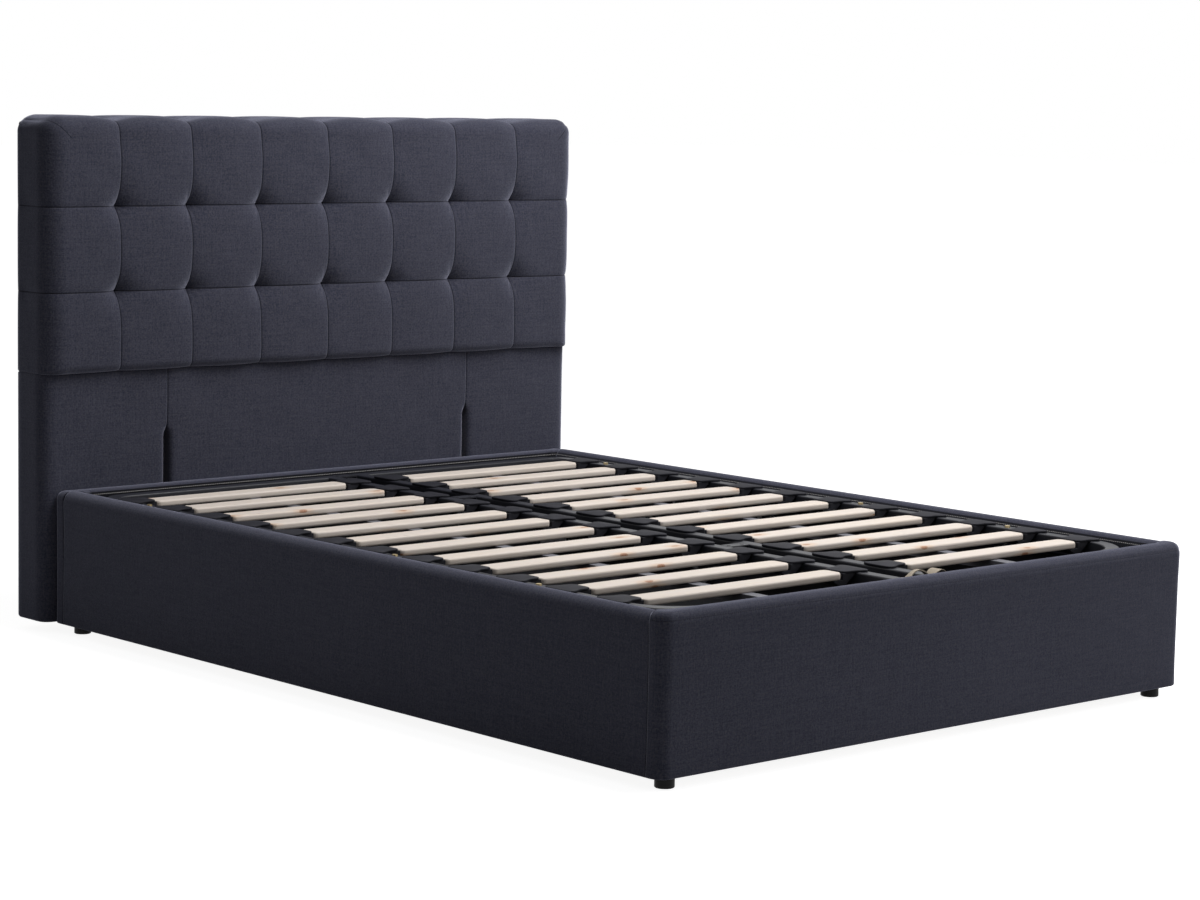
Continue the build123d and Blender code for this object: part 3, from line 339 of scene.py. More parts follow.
def rail_shade_and_stitches(cloth, colour):
    """The colour with painted black shade on the rails' inner faces, a row of pale overlock
    stitches near its top, and painted shade along the seams at the corners."""
    half_x, half_y, top = 0.762, 1.022, 0.3390
    stitch_z, seam_x = 0.3340, 0.77
    x, y, z = cloth.split(cloth.object_place())
    from_middle = y - RAIL_MIDDLE_Y
    # The inner faces below the top, painted near black as shade
    inside = x.near(half_x, 0.0006) * from_middle.near(half_y, 0.0006) * (1.0 - z.above(top, 0.001))
    colour = cloth.mix(inside, colour, (0.003, 0.003, 0.004))
    dots = dashes(x + y, 0.0055, 0.35, 0.1) * (z - stitch_z).near(0.0004, 0.0008) * inside
    colour = cloth.mix(dots * 0.8, colour, (0.30, 0.29, 0.28))
    # Painted shade along the seams at the corners
    seam = from_middle.maths("ABSOLUTE") - (HEAD_SEAM_Y - RAIL_MIDDLE_Y)
    closed = seam.near(0.0019, 0.0010) * x.maths("ABSOLUTE").above(seam_x, 0.002)
    return cloth.mix(closed * 0.95, colour, THREAD_AND_SEAM_SHADE)


def pine(name):
    """Planed pine on the Grain layer: drawn-out growth lines that bend round scattered knots."""
    look = bpy.context.scene.bed_colours
    wood = Finish(name)
    u, v = wood.cloth_place("Grain")
    # Scales per metre along and across the grain: of the cells that may hold a knot, and fibres
    cell_along, cell_over, fibre_along, fibre_over = 5.5, 11.0, 9.0, 900.0
    # Radii in cells, and the share of the cells without a knot
    knot_radius, halo_radius, without = 0.045, 0.06, 0.72
    warp = wood.noise(wood.place(u * 5.0, v * 9.0, 2.0))
    cell = wood.place(u * cell_along, v * cell_over + warp * 0.2)
    flat = {"voronoi_dimensions": "2D"}
    sockets = {"Vector": cell, "Scale": 1.0, "Randomness": 0.9}
    gap = wood.node("ShaderNodeTexVoronoi", flat, sockets)
    chance = wood.split(wood.node("ShaderNodeTexVoronoi", flat, sockets, 1))[0]
    real = chance.above(without, 0.02)
    knot = (1.0 - gap.above(knot_radius, 0.03)) * real
    halo = (1.0 - gap.above(halo_radius, 0.2)) * real
    # The growth lines move aside near a knot
    bent = v * 170.0 + warp * 6.0 + halo * 5.0
    lines = wood.noise(wood.place(u * 2.2, bent, 6.0), 1.0, 3.0, 0.6)
    fine = wood.noise(wood.place(u * fibre_along, v * fibre_over, 4.0))
    year = (bent * 0.9).maths("SINE") * 0.5 + 0.5
    pale = tuple(look.pine)
    shade = wood.mix((lines - 0.42).above(0.0, 0.25) * 0.30, pale, (0.56, 0.47, 0.37))
    shade = wood.mix(year * 0.10, shade, (0.56, 0.45, 0.33))
    shade = wood.mix((fine - 0.5).above(0.0, 0.2) * 0.16, shade, (0.50, 0.43, 0.36))
    blotch = wood.noise(wood.place(u * 2.6, v * 7.0, 1.0))
    shade = wood.mix(blotch.above(0.5, 0.25) * 0.25, shade, (0.66, 0.56, 0.45))
    shade = wood.mix(halo * 0.5, shade, (0.50, 0.32, 0.20))
    rings = (gap * 190.0).maths("SINE") * 0.5 + 0.5
    brown = wood.mix(rings * 0.6, tuple(look.knot), (0.40, 0.22, 0.13))
    colour = wood.mix(knot * 0.92, shade, brown)
    return wood.surface(
        Base_Color=colour, Roughness=0.62 - knot * 0.15, Specular_IOR_Level=0.3,
        Normal=wood.bump(lines + fine * 0.4, 0.12, 0.0004))


def powder_coat(name, colour, rough=0.36, scuffed=0.0):
    """Satin powder coat: a fine orange peel, a faint cloudiness and dust on top."""
    coat = Finish(name)
    place = coat.object_place()
    peel = coat.noise(place, 900.0, 1.0)
    cloud = coat.noise(place, 14.0, 3.0)
    dust = coat.noise(place, 160.0, 4.0, 0.7).above(0.55, 0.25)
    pale = tuple(min(1.0, c * 2.2 + 0.012) for c in colour)
    shade = coat.mix((cloud - 0.3) * 0.35, colour, pale)
    shade = coat.mix(dust * (0.10 + scuffed), shade, (0.16, 0.16, 0.17))
    return coat.surface(
        Base_Color=shade, Roughness=rough + cloud * 0.16 + dust * 0.12, Specular_IOR_Level=0.3,
        Normal=coat.bump(peel, 0.12, 0.0004))


def moulded(name, colour, rough=0.5):
    """Moulded plastic with a fine spark-eroded texture and slight wear."""
    plastic = Finish(name)
    place = plastic.object_place()
    grain = plastic.noise(place, 1600.0)
    wear = plastic.noise(place, 30.0, 4.0, 0.6)
    worn = tuple(c * 1.9 + 0.01 for c in colour)
    shade = plastic.mix(wear.above(0.45, 0.3) * 0.4, colour, worn)
    return plastic.surface(
        Base_Color=shade, Roughness=rough + wear * 0.15, Specular_IOR_Level=0.12,
        Normal=plastic.bump(grain, 0.18, 0.0004))


def plated(name, colour, rough=0.3, tint=None):
    """Plated or bare steel: fine drawn lines and cloudy plating."""
    metal = Finish(name)
    place = metal.object_place()
    cloud = metal.noise(place, 90.0, 3.0)
    fine = metal.noise(place, 1200.0)
    shade = metal.mix(cloud, colour, tint or tuple(c * 0.7 for c in colour))
    return metal.surface(
        Base_Color=shade, Metallic=1.0, Roughness=rough + cloud * 0.2,
        Normal=metal.bump(fine, 0.08, 0.0003))


def hardboard(name):
    """Thin board painted near black as the shade in the storage space: the fibres of a felted
    cloth with faint pressed ribs.
    """
    board = Finish(name)
    x, y, z = board.split(board.object_place())
    fibre = board.noise(board.place(x * 300.0, y * 300.0, z * 300.0), 1.0, 4.0, 0.7)
    ribs = (x * 900.0).maths("SINE") * 0.5 + 0.5
    # Near black as painted shade, varied by the fibres
    shade = board.mix(fibre, (0.004, 0.004, 0.005), (0.014, 0.014, 0.016))
    return board.surface(
        Base_Color=shade, Roughness=0.9, Specular_IOR_Level=0.15,
        Normal=board.bump(fibre + ribs * 0.3, 0.3, 0.0006))


def particle_board(name):
    """Pressed chips of slightly different browns, painted black as shade where it faces the
    storage space.
    """
    board = Finish(name)
    place = board.object_place()
    chip = board.node("ShaderNodeTexVoronoi", None, {"Vector": place, "Scale": 260.0}, 1)
    fine = board.noise(place, 500.0, 3.0)
    tone = board.split(chip)[0]
    shade = board.mix(tone, (0.36, 0.25, 0.15), (0.52, 0.39, 0.25))
    shade = board.mix(fine.above(0.6, 0.15) * 0.5, shade, (0.17, 0.11, 0.06))
    # The faces towards the storage space, painted near black as shade
    half_x, half_y, soft = 0.7525, 1.0125, 0.0005
    x, y = board.split(place)[:2]
    inside = x.near(half_x, soft) * (y - RAIL_MIDDLE_Y).near(half_y, soft)
    shade = board.mix(inside, shade, (0.008, 0.008, 0.009))
    return board.surface(
        Base_Color=shade, Roughness=0.8, Specular_IOR_Level=0.2,
        Normal=board.bump(fine, 0.3, 0.0006))


def softwood(name):
    """Sawn softwood: growth lines along the piece and rough saw marks."""
    wood = Finish(name)
    x, y, z = wood.split(wood.object_place())
    sway = wood.noise(wood.place(x * 6.0, y * 3.0, z * 3.0))
    rings = wood.noise(wood.place((x + z) * 60.0 + sway * 3.0, y * 3.0, z * 60.0), 1.0, 3.0, 0.6)
    shade = wood.mix(rings.above(0.35, 0.3), (0.62, 0.47, 0.29), (0.44, 0.29, 0.15))
    saw = wood.noise(wood.place(x * 300.0, y * 300.0, z * 20.0), detail=1.0)
    return wood.surface(
        Base_Color=shade, Roughness=0.75, Specular_IOR_Level=0.25,
        Normal=wood.bump(saw, 0.25, 0.0006))


def dust_cloth(name):
    """Thin spun-bonded cloth: a felted mat of short fibres with a grid of bond points."""
    felt = Finish(name)
    x, y, z = felt.split(felt.object_place())
    fibre = felt.noise(felt.place(x * 260.0, y * 260.0, z * 260.0), 1.0, 4.0, 0.7)
    bonds = (x * 1400.0).maths("SINE") * (z * 1400.0).maths("SINE")
    shade = felt.mix(fibre, (0.008, 0.008, 0.010), (0.03, 0.03, 0.034))
    return felt.surface(
        Base_Color=shade, Roughness=0.9, Specular_IOR_Level=0.2, Sheen_Weight=0.15,
        Normal=felt.bump(fibre + bonds * 0.3, 0.4, 0.0008))


def strap_cloth(name):
    """Woven webbing: crossed yarns as the product of two sines, and fine fibres."""
    look = bpy.context.scene.bed_colours
    strap = Finish(name)
    rib_pitch, pick_pitch = 0.0024, 0.0018
    x, y = strap.split(strap.object_place())[:2]
    ribs = (y * (2 * math.pi / rib_pitch)).maths("SINE")
    picks = (x * (2 * math.pi / pick_pitch)).maths("SINE")
    fibre = strap.noise(strap.object_place(), 700.0, 3.0)
    weave = ribs * picks * 0.5 + 0.5
    pale = tuple(look.webbing)
    shade = strap.mix(weave * 0.35 + fibre * 0.3, pale, tuple(c * 0.45 for c in pale))
    return strap.surface(
        Base_Color=shade, Roughness=0.85, Specular_IOR_Level=0.2, Sheen_Weight=0.15,
        Normal=strap.bump(weave + fibre * 0.5, 0.5, 0.0007))


# Surfaces


def grid_faces(rows, columns, turn_rows=False, turn_columns=False):
    """Quads of a grid of points in row order. A turned direction joins its last to its first."""
    index = np.arange(rows * columns).reshape(rows, columns)
    if turn_rows:
        index = np.vstack([index, index[:1]])
    if turn_columns:
        index = np.hstack([index, index[:, :1]])
    low, high = index[:-1], index[1:]
    return np.stack([low[:, :-1], low[:, 1:], high[:, 1:], high[:, :-1]], -1).reshape(-1, 4)


def make_piece(name, points, faces, place, layer, finish, body, nodes=(), ends=()):
    """A smooth mesh from points, quads and surface coordinates, set on its body.

    ends are single faces with many corners, which close the piece.
    """
    mesh = bpy.data.meshes.new(name)
    every = [tuple(face) for face in faces.tolist()] + [tuple(end) for end in ends]
    mesh.from_pydata(np.asarray(points, float).tolist(), [], every)
    outwards = bmesh.new()
    outwards.from_mesh(mesh)
    bmesh.ops.recalc_face_normals(outwards, faces=outwards.faces)
    if outwards.calc_volume(signed=True) < 0:
        bmesh.ops.reverse_faces(outwards, faces=outwards.faces)
    outwards.to_mesh(mesh)
    outwards.free()
    mesh.materials.append(finish)
    corners = np.zeros(len(mesh.loops), np.int32)
    mesh.loops.foreach_get("vertex_index", corners)
    layer_data = mesh.uv_layers.new(name=layer)
    layer_data.data.foreach_set("uv", np.asarray(place, np.float32)[corners].ravel())
    smooth = np.ones(len(mesh.polygons), bool)
    smooth[len(faces):] = False
    mesh.polygons.foreach_set("use_smooth", smooth)
    mesh.validate()
    mesh.update()
    piece = bpy.data.objects.new(name, mesh)
    bpy.context.scene.collection.objects.link(piece)
    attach(piece, body)
    if nodes:
        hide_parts(*nodes)
    return piece


def ease(value):
    """Smooth step of a value between 0 and 1."""
    value = np.clip(value, 0, 1)
    return value * value * (3 - 2 * value)


def grid_normals(points):
    """Unit normals of a grid of points, from the cross product of its two slopes."""
    down, along = np.gradient(points, axis=0), np.gradient(points, axis=1)
    normal = np.cross(along, down)
    return normal / np.maximum(np.linalg.norm(normal, axis=2, keepdims=True), 1e-12)


def roll(d, radius, run, back):
    """Outward offset and depth of cloth that lies d past the flat of a pad's edge.

    A quarter turn of the edge radius, a straight run, a quarter turn of the back radius, and
    the rest lies inwards on the back.
    """
    first = np.clip(d / radius, 0, QUARTER)
    straight = np.clip(d - radius * QUARTER, 0, run)
    second = np.clip((d - radius * QUARTER - run) / back, 0, QUARTER)
    tuck = np.maximum(d - (radius + back) * QUARTER - run, 0)
    out = radius * np.sin(first) - back * (1 - np.cos(second)) - tuck
    deep = radius * (1 - np.cos(first)) + straight + back * np.sin(second)
    return out, deep


def pad_form(u, v, low_u, high_u, low_v, high_v, front):
    """Places of a padded front that turns back on its four sides, over cloth coordinates u and v.

    Each side is (limit of the flat, radius, run, back radius, whole length). Inside the limits
    the cloth is flat. Past one limit it follows that side's roll. Past two it follows a roll
    along the larger share of the two lengths, turned about the corner by the ratio of the
    shares, which puts the corner's mitre on the line of equal shares.
    """
    shares, rolls = [], []
    for value, low, high in ((u, low_u, high_u), (v, low_v, high_v)):
        under, over = np.maximum(low[0] - value, 0), np.maximum(value - high[0], 0)
        side = np.where(under > 0, -1.0, 1.0)
        share = np.where(under > 0, under / low[4], over / high[4])
        shares.append(share)
        rolls.append((side, low, high))
    across, up = np.meshgrid(*shares)
    size = np.maximum(across, up)
    small = np.minimum(across, up)
    part = np.where(size > 0, small / np.maximum(size, 1e-9), 0)
    turn = np.where(across >= up, part * QUARTER / 2, QUARTER - part * QUARTER / 2)
    side_u, low, high = rolls[0]
    left = np.broadcast_to(side_u < 0, size.shape)
    out_low, deep_low = roll(size * low[4], *low[1:4])
    out_high, deep_high = roll(size * high[4], *high[1:4])
    out_u = np.where(left, out_low, out_high)
    deep_u = np.where(left, deep_low, deep_high)
    side_v, low_w, high_w = rolls[1]
    below = np.broadcast_to((side_v < 0)[:, None], size.shape)
    out_low, deep_low = roll(size * low_w[4], *low_w[1:4])
    out_high, deep_high = roll(size * high_w[4], *high_w[1:4])
    out_v = np.where(below, out_low, out_high)
    deep_v = np.where(below, deep_low, deep_high)
    past = size > 0
    x = np.clip(u, low[0], high[0])[None, :] + side_u[None, :] * out_u * np.cos(turn) * past
    z = np.clip(v, low_w[0], high_w[0])[:, None] + side_v[:, None] * out_v * np.sin(turn) * past
    deep = deep_u * np.cos(turn) ** 2 + deep_v * np.sin(turn) ** 2
    return np.stack([x, front + deep, z], -1)


def edge_ring(rows, columns):
    """Indices round the outside of a grid, in one turn."""
    index = np.arange(rows * columns).reshape(rows, columns)
    return np.concatenate([index[0, :-1], index[:-1, -1], index[-1, :0:-1], index[:0:-1, 0]])


def close_pad(points, place, faces, core_y, shrink):
    """Closes a pad behind: its open edge steps in by shrink, runs forward to core_y and ends
    in one flat face."""
    rows, columns = points.shape[:2]
    ring = edge_ring(rows, columns)
    flat = points.reshape(-1, 3)
    edge = flat[ring]
    middle = (edge.min(0) + edge.max(0)) / 2
    half = (edge.max(0) - edge.min(0)) / 2
    inner = middle + (edge - middle) * (1 - shrink / half)
    inner[:, 1] = edge[:, 1]
    front = inner.copy()
    front[:, 1] = core_y
    count = len(ring)
    start = len(flat)
    first, second = np.arange(count) + start, np.arange(count) + start + count
    strips = []
    for near, far in ((ring, first), (first, second)):
        strips.append(np.stack([near, far, np.roll(far, -1), np.roll(near, -1)], -1))
    every = np.vstack([flat, inner, front])
    flat_place = place.reshape(-1, 2)
    every_place = np.vstack([flat_place, flat_place[ring], flat_place[ring]])
    return every, every_place, np.vstack([faces, *strips]), [second[::-1]]


def soft_outline(corners, radius, steps=4):
    """A closed outline with an arc in place of each corner, and a support point beside each arc.

    The arc's points divide the turn between its two radii evenly, from the sines of the shares.
    """
    corners = np.asarray(corners, float)
    rows = []
    share = np.linspace(0, 1, steps + 1)[:, None]
    for before, here, after in zip(np.roll(corners, 1, 0), corners, np.roll(corners, -1, 0)):
        back, ahead = (way / np.linalg.norm(way) for way in (before - here, after - here))
        half = math.acos(float(np.clip(back @ ahead, -1, 1))) / 2
        whole = math.pi - 2 * half
        cut = radius / math.tan(half)
        middle = here + (back + ahead) / np.linalg.norm(back + ahead) * radius / math.sin(half)
        first, last = here + back * cut - middle, here + ahead * cut - middle
        turned = first * np.sin((1 - share) * whole) + last * np.sin(share * whole)
        arc = middle + turned / math.sin(whole)
        rows.append(np.vstack([arc[0] + back * radius * 0.5, arc, arc[-1] + ahead * radius * 0.5]))
    return np.vstack(rows)


def copies(points, faces, ends, shifts):
    """Several copies of a piece in one mesh, each moved by its shift."""
    count = len(points)
    every = np.vstack([points + shift for shift in shifts])
    all_faces = np.vstack([faces + number * count for number in range(len(shifts))])
    return every, all_faces, [end + number * count for number in range(len(shifts)) for end in ends]


def spread(start, end, step, fine=(), fine_step=0.002, reach=0.03):
    """Increasing places from start to end, about a step apart, and denser near the fine places.

    The step at a place is the coarse step shrunk by how near the nearest fine place is.
    """
    samples = 6000
    sample = np.linspace(start, end, samples)
    gap = np.ones(samples)
    if len(fine):
        gap = np.min(np.abs(sample[:, None] - np.asarray(fine)[None, :]), 1)
    size = np.clip(fine_step + (step - fine_step) * gap / reach, fine_step, step)
    stretch = (end - start) / (samples - 1)
    count = np.concatenate([[0], np.cumsum(stretch / ((size[1:] + size[:-1]) / 2))])
    return np.interp(np.linspace(0, count[-1], int(math.ceil(count[-1])) + 1), count, sample)


def lengths(line):
    """Distance along a line of points at each of its points."""
    return np.concatenate([[0], np.cumsum(np.linalg.norm(np.diff(line, axis=0), axis=1))])


def tube_faces(rows, columns):
    """Faces of a closed section carried along a path: the quads, and one face at either end."""
    index = np.arange(rows * columns).reshape(rows, columns)
    return grid_faces(rows, columns, turn_rows=True), [index[:, 0], index[:, -1]]


# Pieces


def plan_line(u, low, high, front):
    """Plan of a padded front that turns back at both ends, over the cloth coordinate u.

    Each end is (limit of the flat, radius, run, back radius). Past a limit the cloth follows
    that end's roll.
    """
    under, over = np.maximum(low[0] - u, 0), np.maximum(u - high[0], 0)
    out_low, deep_low = roll(under, *low[1:4])
    out_high, deep_high = roll(over, *high[1:4])
    return np.clip(u, low[0], high[0]) - out_low + out_high, front + deep_low + deep_high


def plan_normals(x, y):
    """Outward normals of a plan line that runs to the right along the front."""
    along_x, along_y = np.gradient(x, axis=-1), np.gradient(y, axis=-1)
    length = np.maximum(np.hypot(along_x, along_y), 1e-12)
    return along_y / length, -along_x / length


def end_roll(x, y, level, radius, way, tuck, steps=9):
    """Rows that round a pad's lower or upper edge over to the inside.

    Row by row the height nears the level by radius times (1 - sin t), while the plan moves
    inwards by radius times (1 - cos t). The last row lies tuck further in. way is -1 at a
    lower edge. The rows run from the wall to the tuck.
    """
    turn = np.linspace(0, QUARTER, steps)[:, None]
    inset = np.vstack([radius * (1 - np.cos(turn)), radius[None, :] + tuck])
    height = np.vstack([level - way * radius * (1 - np.sin(turn)), np.full((1, len(x)), level)])
    out_x, out_y = plan_normals(x, y)
    return np.stack([x - out_x * inset, y - out_y * inset, height], -1)


class BED_OT_tufted_pad(bpy.types.Operator):
    """Upper pad of the headboard, with its sewn panels and tufts"""

    bl_idname = "bed.tufted_pad"
    bl_label = "Tufted pad"

    def execute(self, context):
        """The pad's front with its rolls, and each point moved in along the normal by the depth
        of the quilting and of the pull at the edges."""
        size = context.scene.bed_sizes
        flat_x, flat_top = PAD_HALF - SIDE_ROLL, PAD_TOP - TOP_ROLL
        last_u, last_v = flat_x + SIDE_LONG, flat_top + TOP_LONG
        # Radius of the bottom edge, in front and towards the sides, and height of its straight wall
        under, under_side = 0.022, 0.007
        lowest, tucked = SEAM_Z + under + 0.003, 0.010
        step, seam_step, reach = 0.009, 0.0013, 0.035
        side_low, side_high = (
            (way * flat_x, SIDE_ROLL, SIDE_RUN, BACK_ROLL, SIDE_LONG) for way in (-1, 1))
        bottom = (lowest, under, 0.01, BACK_ROLL, 1.0)
        crown = (flat_top, TOP_ROLL, TOP_RUN, BACK_ROLL, TOP_LONG)
        u = spread(-last_u, last_u, step, TUFTS_X, seam_step, reach)
        v = spread(lowest, last_v, step, TUFTS_Z, seam_step, reach)
        wall = pad_form(u, v, side_low, side_high, bottom, crown, PAD_FRONT)
        radius = under - (under - under_side) * ease((np.abs(u) - flat_x + 0.02) / 0.07)
        rolled = end_roll(wall[0, :, 0], wall[0, :, 1], SEAM_Z, radius, -1, tucked)[::-1]
        points = np.vstack([rolled, wall])
        steps = np.linalg.norm(np.diff(points[:len(rolled) + 1], axis=0), axis=-1).mean(1)
        v = np.concatenate([lowest - np.cumsum(steps[::-1])[::-1], v])
        across, up = np.meshgrid(u, v)
        sink = self.quilting(size, across, up) + self.edge_pull(size, across, up)
        # The tucked edges stay where they are, and the bottom edge moves by a quarter
        fixed, freed, least = 0.004, 0.05, 0.25
        end = np.minimum(last_u - np.abs(across), last_v - up)
        below = ease((up - v[0]) / (lowest - v[0]))
        sink = sink * ease((end - fixed) / freed) * (least + (1 - least) * below)
        points = points - grid_normals(points) * sink[..., None]
        core_y, shrink = 1.040, 0.006
        every, places, faces, ends = close_pad(
            points, np.stack([across, up], -1), grid_faces(len(v), len(u)), core_y, shrink)
        finish = upholstery("upholstery_headboard", "tufts")
        pad = make_piece(
            "tufted_pad", every, faces, places, "Weave", finish, "base",
            ["headboard_tufted_pad"], ends)
        return {"FINISHED"}

    @staticmethod
    def edge_pull(size, across, up):
        """How far the seams pull in the top and the bottom edge, and the mitres both top corners.

        The pull is the square of the nearness to the closest seam. A mitre falls off with the
        distance from where both turns have equal shares, and starts in a crease on the front.
        """
        top_from, top_over, bottom_pull, bottom_over, flat_half = 1.12, 0.09, 0.003, 0.05, 0.80
        mitre_deep, mitre_wide, crease, crease_over = 0.0042, 0.0045, 0.022, 0.010
        to_x = np.min(np.abs(across[..., None] - np.array(TUFTS_X)), -1)
        bow = (1 - np.clip(to_x / (COLUMN / 2), 0, 1)) ** 2
        on_top = ease((up - top_from) / top_over)
        on_bottom = 1 - ease((up - SEAM_Z) / bottom_over)
        in_front = np.abs(across) < flat_half
        pull = (size.scallop * on_top + bottom_pull * on_bottom) * bow * in_front
        mitre_u = (np.abs(across) - (PAD_HALF - SIDE_ROLL)) / SIDE_LONG
        mitre_v = (up - (PAD_TOP - TOP_ROLL)) / TOP_LONG
        apart = np.abs(mitre_u - mitre_v) * SIDE_LONG
        started = (np.minimum(mitre_u, mitre_v) * SIDE_LONG + crease) / crease_over
        return pull + mitre_deep * np.exp(-apart / mitre_wide) * np.clip(started, 0, 1)

    @staticmethod
    def quilting(size, across, up):
        """How far the cloth lies under the fullest place of its panel.

        Each seam is a soft roll with a thin groove. Each panel swells as a product of sines.
        A tuft's pull falls off with distance, sooner across the panels than along the seams,
        and gathers the cloth in small folds.
        """
        groove_deep, groove_wide = 0.0011, 0.0012
        half_column, half_row = COLUMN / 2, (TUFTS_Z[1] - TUFTS_Z[0]) / 2
        gather_deep, gather_at, gather_wide, folds = 0.0006, 0.026, 0.014, 10
        off_axis, falls, fullness, slack_deep = 0.22, 1.15, 0.8, 0.0007
        to_x = np.min(np.abs(across[..., None] - np.array(TUFTS_X)), -1)
        to_z = np.min(np.abs(up[..., None] - np.array(TUFTS_Z)), -1)
        rise = (1 - np.exp(-to_x / size.seam_roll)) * (1 - np.exp(-to_z / size.seam_roll))
        swell = (np.sin(np.clip(to_x / half_column, 0, 1) * QUARTER)
                 * np.sin(np.clip(to_z / half_row, 0, 1) * QUARTER)) ** fullness
        sink = size.panel_crown * (1 - rise * 0.5 - swell * 0.5)
        sink += groove_deep * (np.exp(-to_x / groove_wide) + np.exp(-to_z / groove_wide))
        for x in TUFTS_X:
            for z in TUFTS_Z:
                dx, dz = across - x, up - z
                radius, turn = np.hypot(dx, dz), np.arctan2(dz, dx)
                felt = radius * (1 + off_axis * np.sin(2 * turn) ** 2)
                sink += size.tuft_depth * np.exp(-(felt / size.tuft_reach) ** falls)
                gather = np.exp(-((radius - gather_at) / gather_wide) ** 2)
                sink += gather_deep * np.cos(turn * folds + x * 40 + z * 9) * gather
        slack = np.sin(across * 31 + np.sin(up * 23) * 1.3) * np.sin(up * 27 + across * 9)
        return sink + slack_deep * slack


class BED_OT_lower_pads(bpy.types.Operator):
    """Three plain lower pads of the headboard, split by two slits"""

    bl_idname = "bed.lower_pads"
    bl_label = "Lower pads"

    def execute(self, context):
        """Each pad is a plan line carried up its height. The plan blends from the one that is sewn
        shut at its seams to the one that opens, with a smooth step at the slit's top, and the edges
        above and below roll over to the inside."""
        size = context.scene.bed_sizes
        finish = upholstery("upholstery_lower")
        gap, seam_run, seam_long, top_z = 0.0004, 0.024, 0.029, 0.6235
        wall_low, wall_top, slit_top, slit_over = 0.037, 0.616, 0.488, 0.036
        core_y, shrink = 1.0402, 0.004
        # Radii of the edges above and below: at the seams, more away from them, and a share below
        at_seam, more, more_over, low_share = 0.0015, 0.0045, 0.03, 1.4
        step, seam_step, reach = 0.012, 0.0012, 0.03
        flat_x = PAD_HALF - LOWER_ROLL
        limits = {"left": (-flat_x, -SLIT_X + gap), "centre": (-SLIT_X, SLIT_X),
                  "right": (SLIT_X - gap, flat_x)}
        for word, (first, last) in limits.items():
            forms = []
            # Closed where the seam is stitched, and open with fuller edges below
            for radius, opening in ((0.003, gap), (0.012, size.slit)):
                ends = []
                for limit, way in ((first, -1), (last, 1)):
                    if abs(limit) == flat_x:
                        ends.append((limit, LOWER_ROLL, LOWER_RUN, BACK_ROLL))
                    else:
                        ends.append((limit - way * (radius + opening), radius, seam_run, BACK_ROLL))
                forms.append(ends)
            low_end = first - (LOWER_LONG if word == "left" else seam_long)
            high_end = last + (LOWER_LONG if word == "right" else seam_long)
            seams = [x for x in (-SLIT_X, SLIT_X) if low_end < x < high_end]
            u = spread(low_end, high_end, step, seams, seam_step, reach)
            closed_x, closed_y = plan_line(u, *forms[0], HEAD_Y)
            open_x, open_y = plan_line(u, *forms[1], HEAD_Y)
            v = spread(wall_low, wall_top, step, (0.475,), 0.004, 2 * reach)
            share = ease((slit_top - v) / slit_over)[:, None]
            x = closed_x * (1 - share) + open_x * share
            y = closed_y * (1 - share) + open_y * share
            to_seam = np.min([np.abs(u - seam) for seam in seams], 0)
            radius = at_seam + more * ease(to_seam / more_over)
            wall = np.stack([x, y, np.repeat(v[:, None], len(u), 1)], -1)
            top = end_roll(x[-1], y[-1], top_z, radius, 1, TUCK)
            low = end_roll(x[0], y[0], RAIL_LOW, radius * low_share, -1, TUCK)[::-1]
            points = np.vstack([low, wall, top])
            steps = np.linalg.norm(np.diff(points, axis=0), axis=-1).mean(1)
            up = np.concatenate([[0], np.cumsum(steps)])
            up = up - up[len(low)] + wall_low
            across, height = np.meshgrid(u, up)
            in_front = points[..., 1] < 1.03
            points[..., 1] += self.slack(seams, across, height) * in_front
            every, places, faces, closing = close_pad(
                points, np.stack([across, height], -1), grid_faces(len(up), len(u)), core_y, shrink)
            pad = make_piece(
                f"lower_pad_{word}", every, faces, places, "Weave", finish, "base",
                [f"headboard_lower_pad_{word}"], closing)
        return {"FINISHED"}

    @staticmethod
    def slack(seams, across, height):
        """How far the cloth lies in: slow waves, and puckers beside each seam where the stitching
        ends, which fall off with the square of the distance."""
        wave, pucker, draw, stitched_to, drawn_from = 0.0007, 0.0022, 0.0012, 0.485, 0.48
        swayed = across * 17 + np.sin(height * 11) * 1.2
        sink = wave * np.sin(swayed) * np.sin(height * 19 + across * 5)
        for seam in seams:
            near = np.exp(-((across - seam) / 0.035) ** 2)
            sink += pucker * near * np.exp(-((height - stitched_to) / 0.03) ** 2)
            sink += draw * np.exp(-np.abs(across - seam) / 0.012) * (height > drawn_from)
        return sink + wave


def rail_section(bulge, spring, power):
    """Closed section of a padded rail, as distance in from the outer face and height.

    It runs up the outer face and over a crown that is half a superellipse, full as foam under
    cloth, then down the lip and back round the board that it covers.
    """
    board_top, board_far, lip, cloth, hem, count = 0.3252, 0.0262, 0.28, 0.0018, 0.004, 26
    turn = np.linspace(0, QUARTER, 5)[1:]
    under = np.array([[0.0275, RAIL_LOW], [0.016, RAIL_LOW], [0.005, RAIL_LOW]])
    foot = np.stack([hem - hem * np.sin(turn), RAIL_LOW + hem - hem * np.cos(turn)], 1)
    face = np.stack([np.zeros(count), np.linspace(RAIL_LOW + 2 * hem, spring, count)], 1)
    over = np.linspace(0, 2 * QUARTER, 31)[1:-1]
    full = 2 / power
    side = np.sign(np.cos(over)) * np.abs(np.cos(over)) ** full
    rise = (RAIL_TOP + bulge - spring) * np.sin(over) ** full
    crown = np.stack([RAIL_WIDTH / 2 * (1 - side), spring + rise], 1)
    drop = np.stack([np.full(5, RAIL_WIDTH), np.linspace(spring, lip, 5)], 1)
    inside = RAIL_WIDTH - cloth
    home = np.array([[inside, lip], [inside, board_top], [board_far, board_top]])
    return np.vstack([under, foot, face, crown, drop, home])


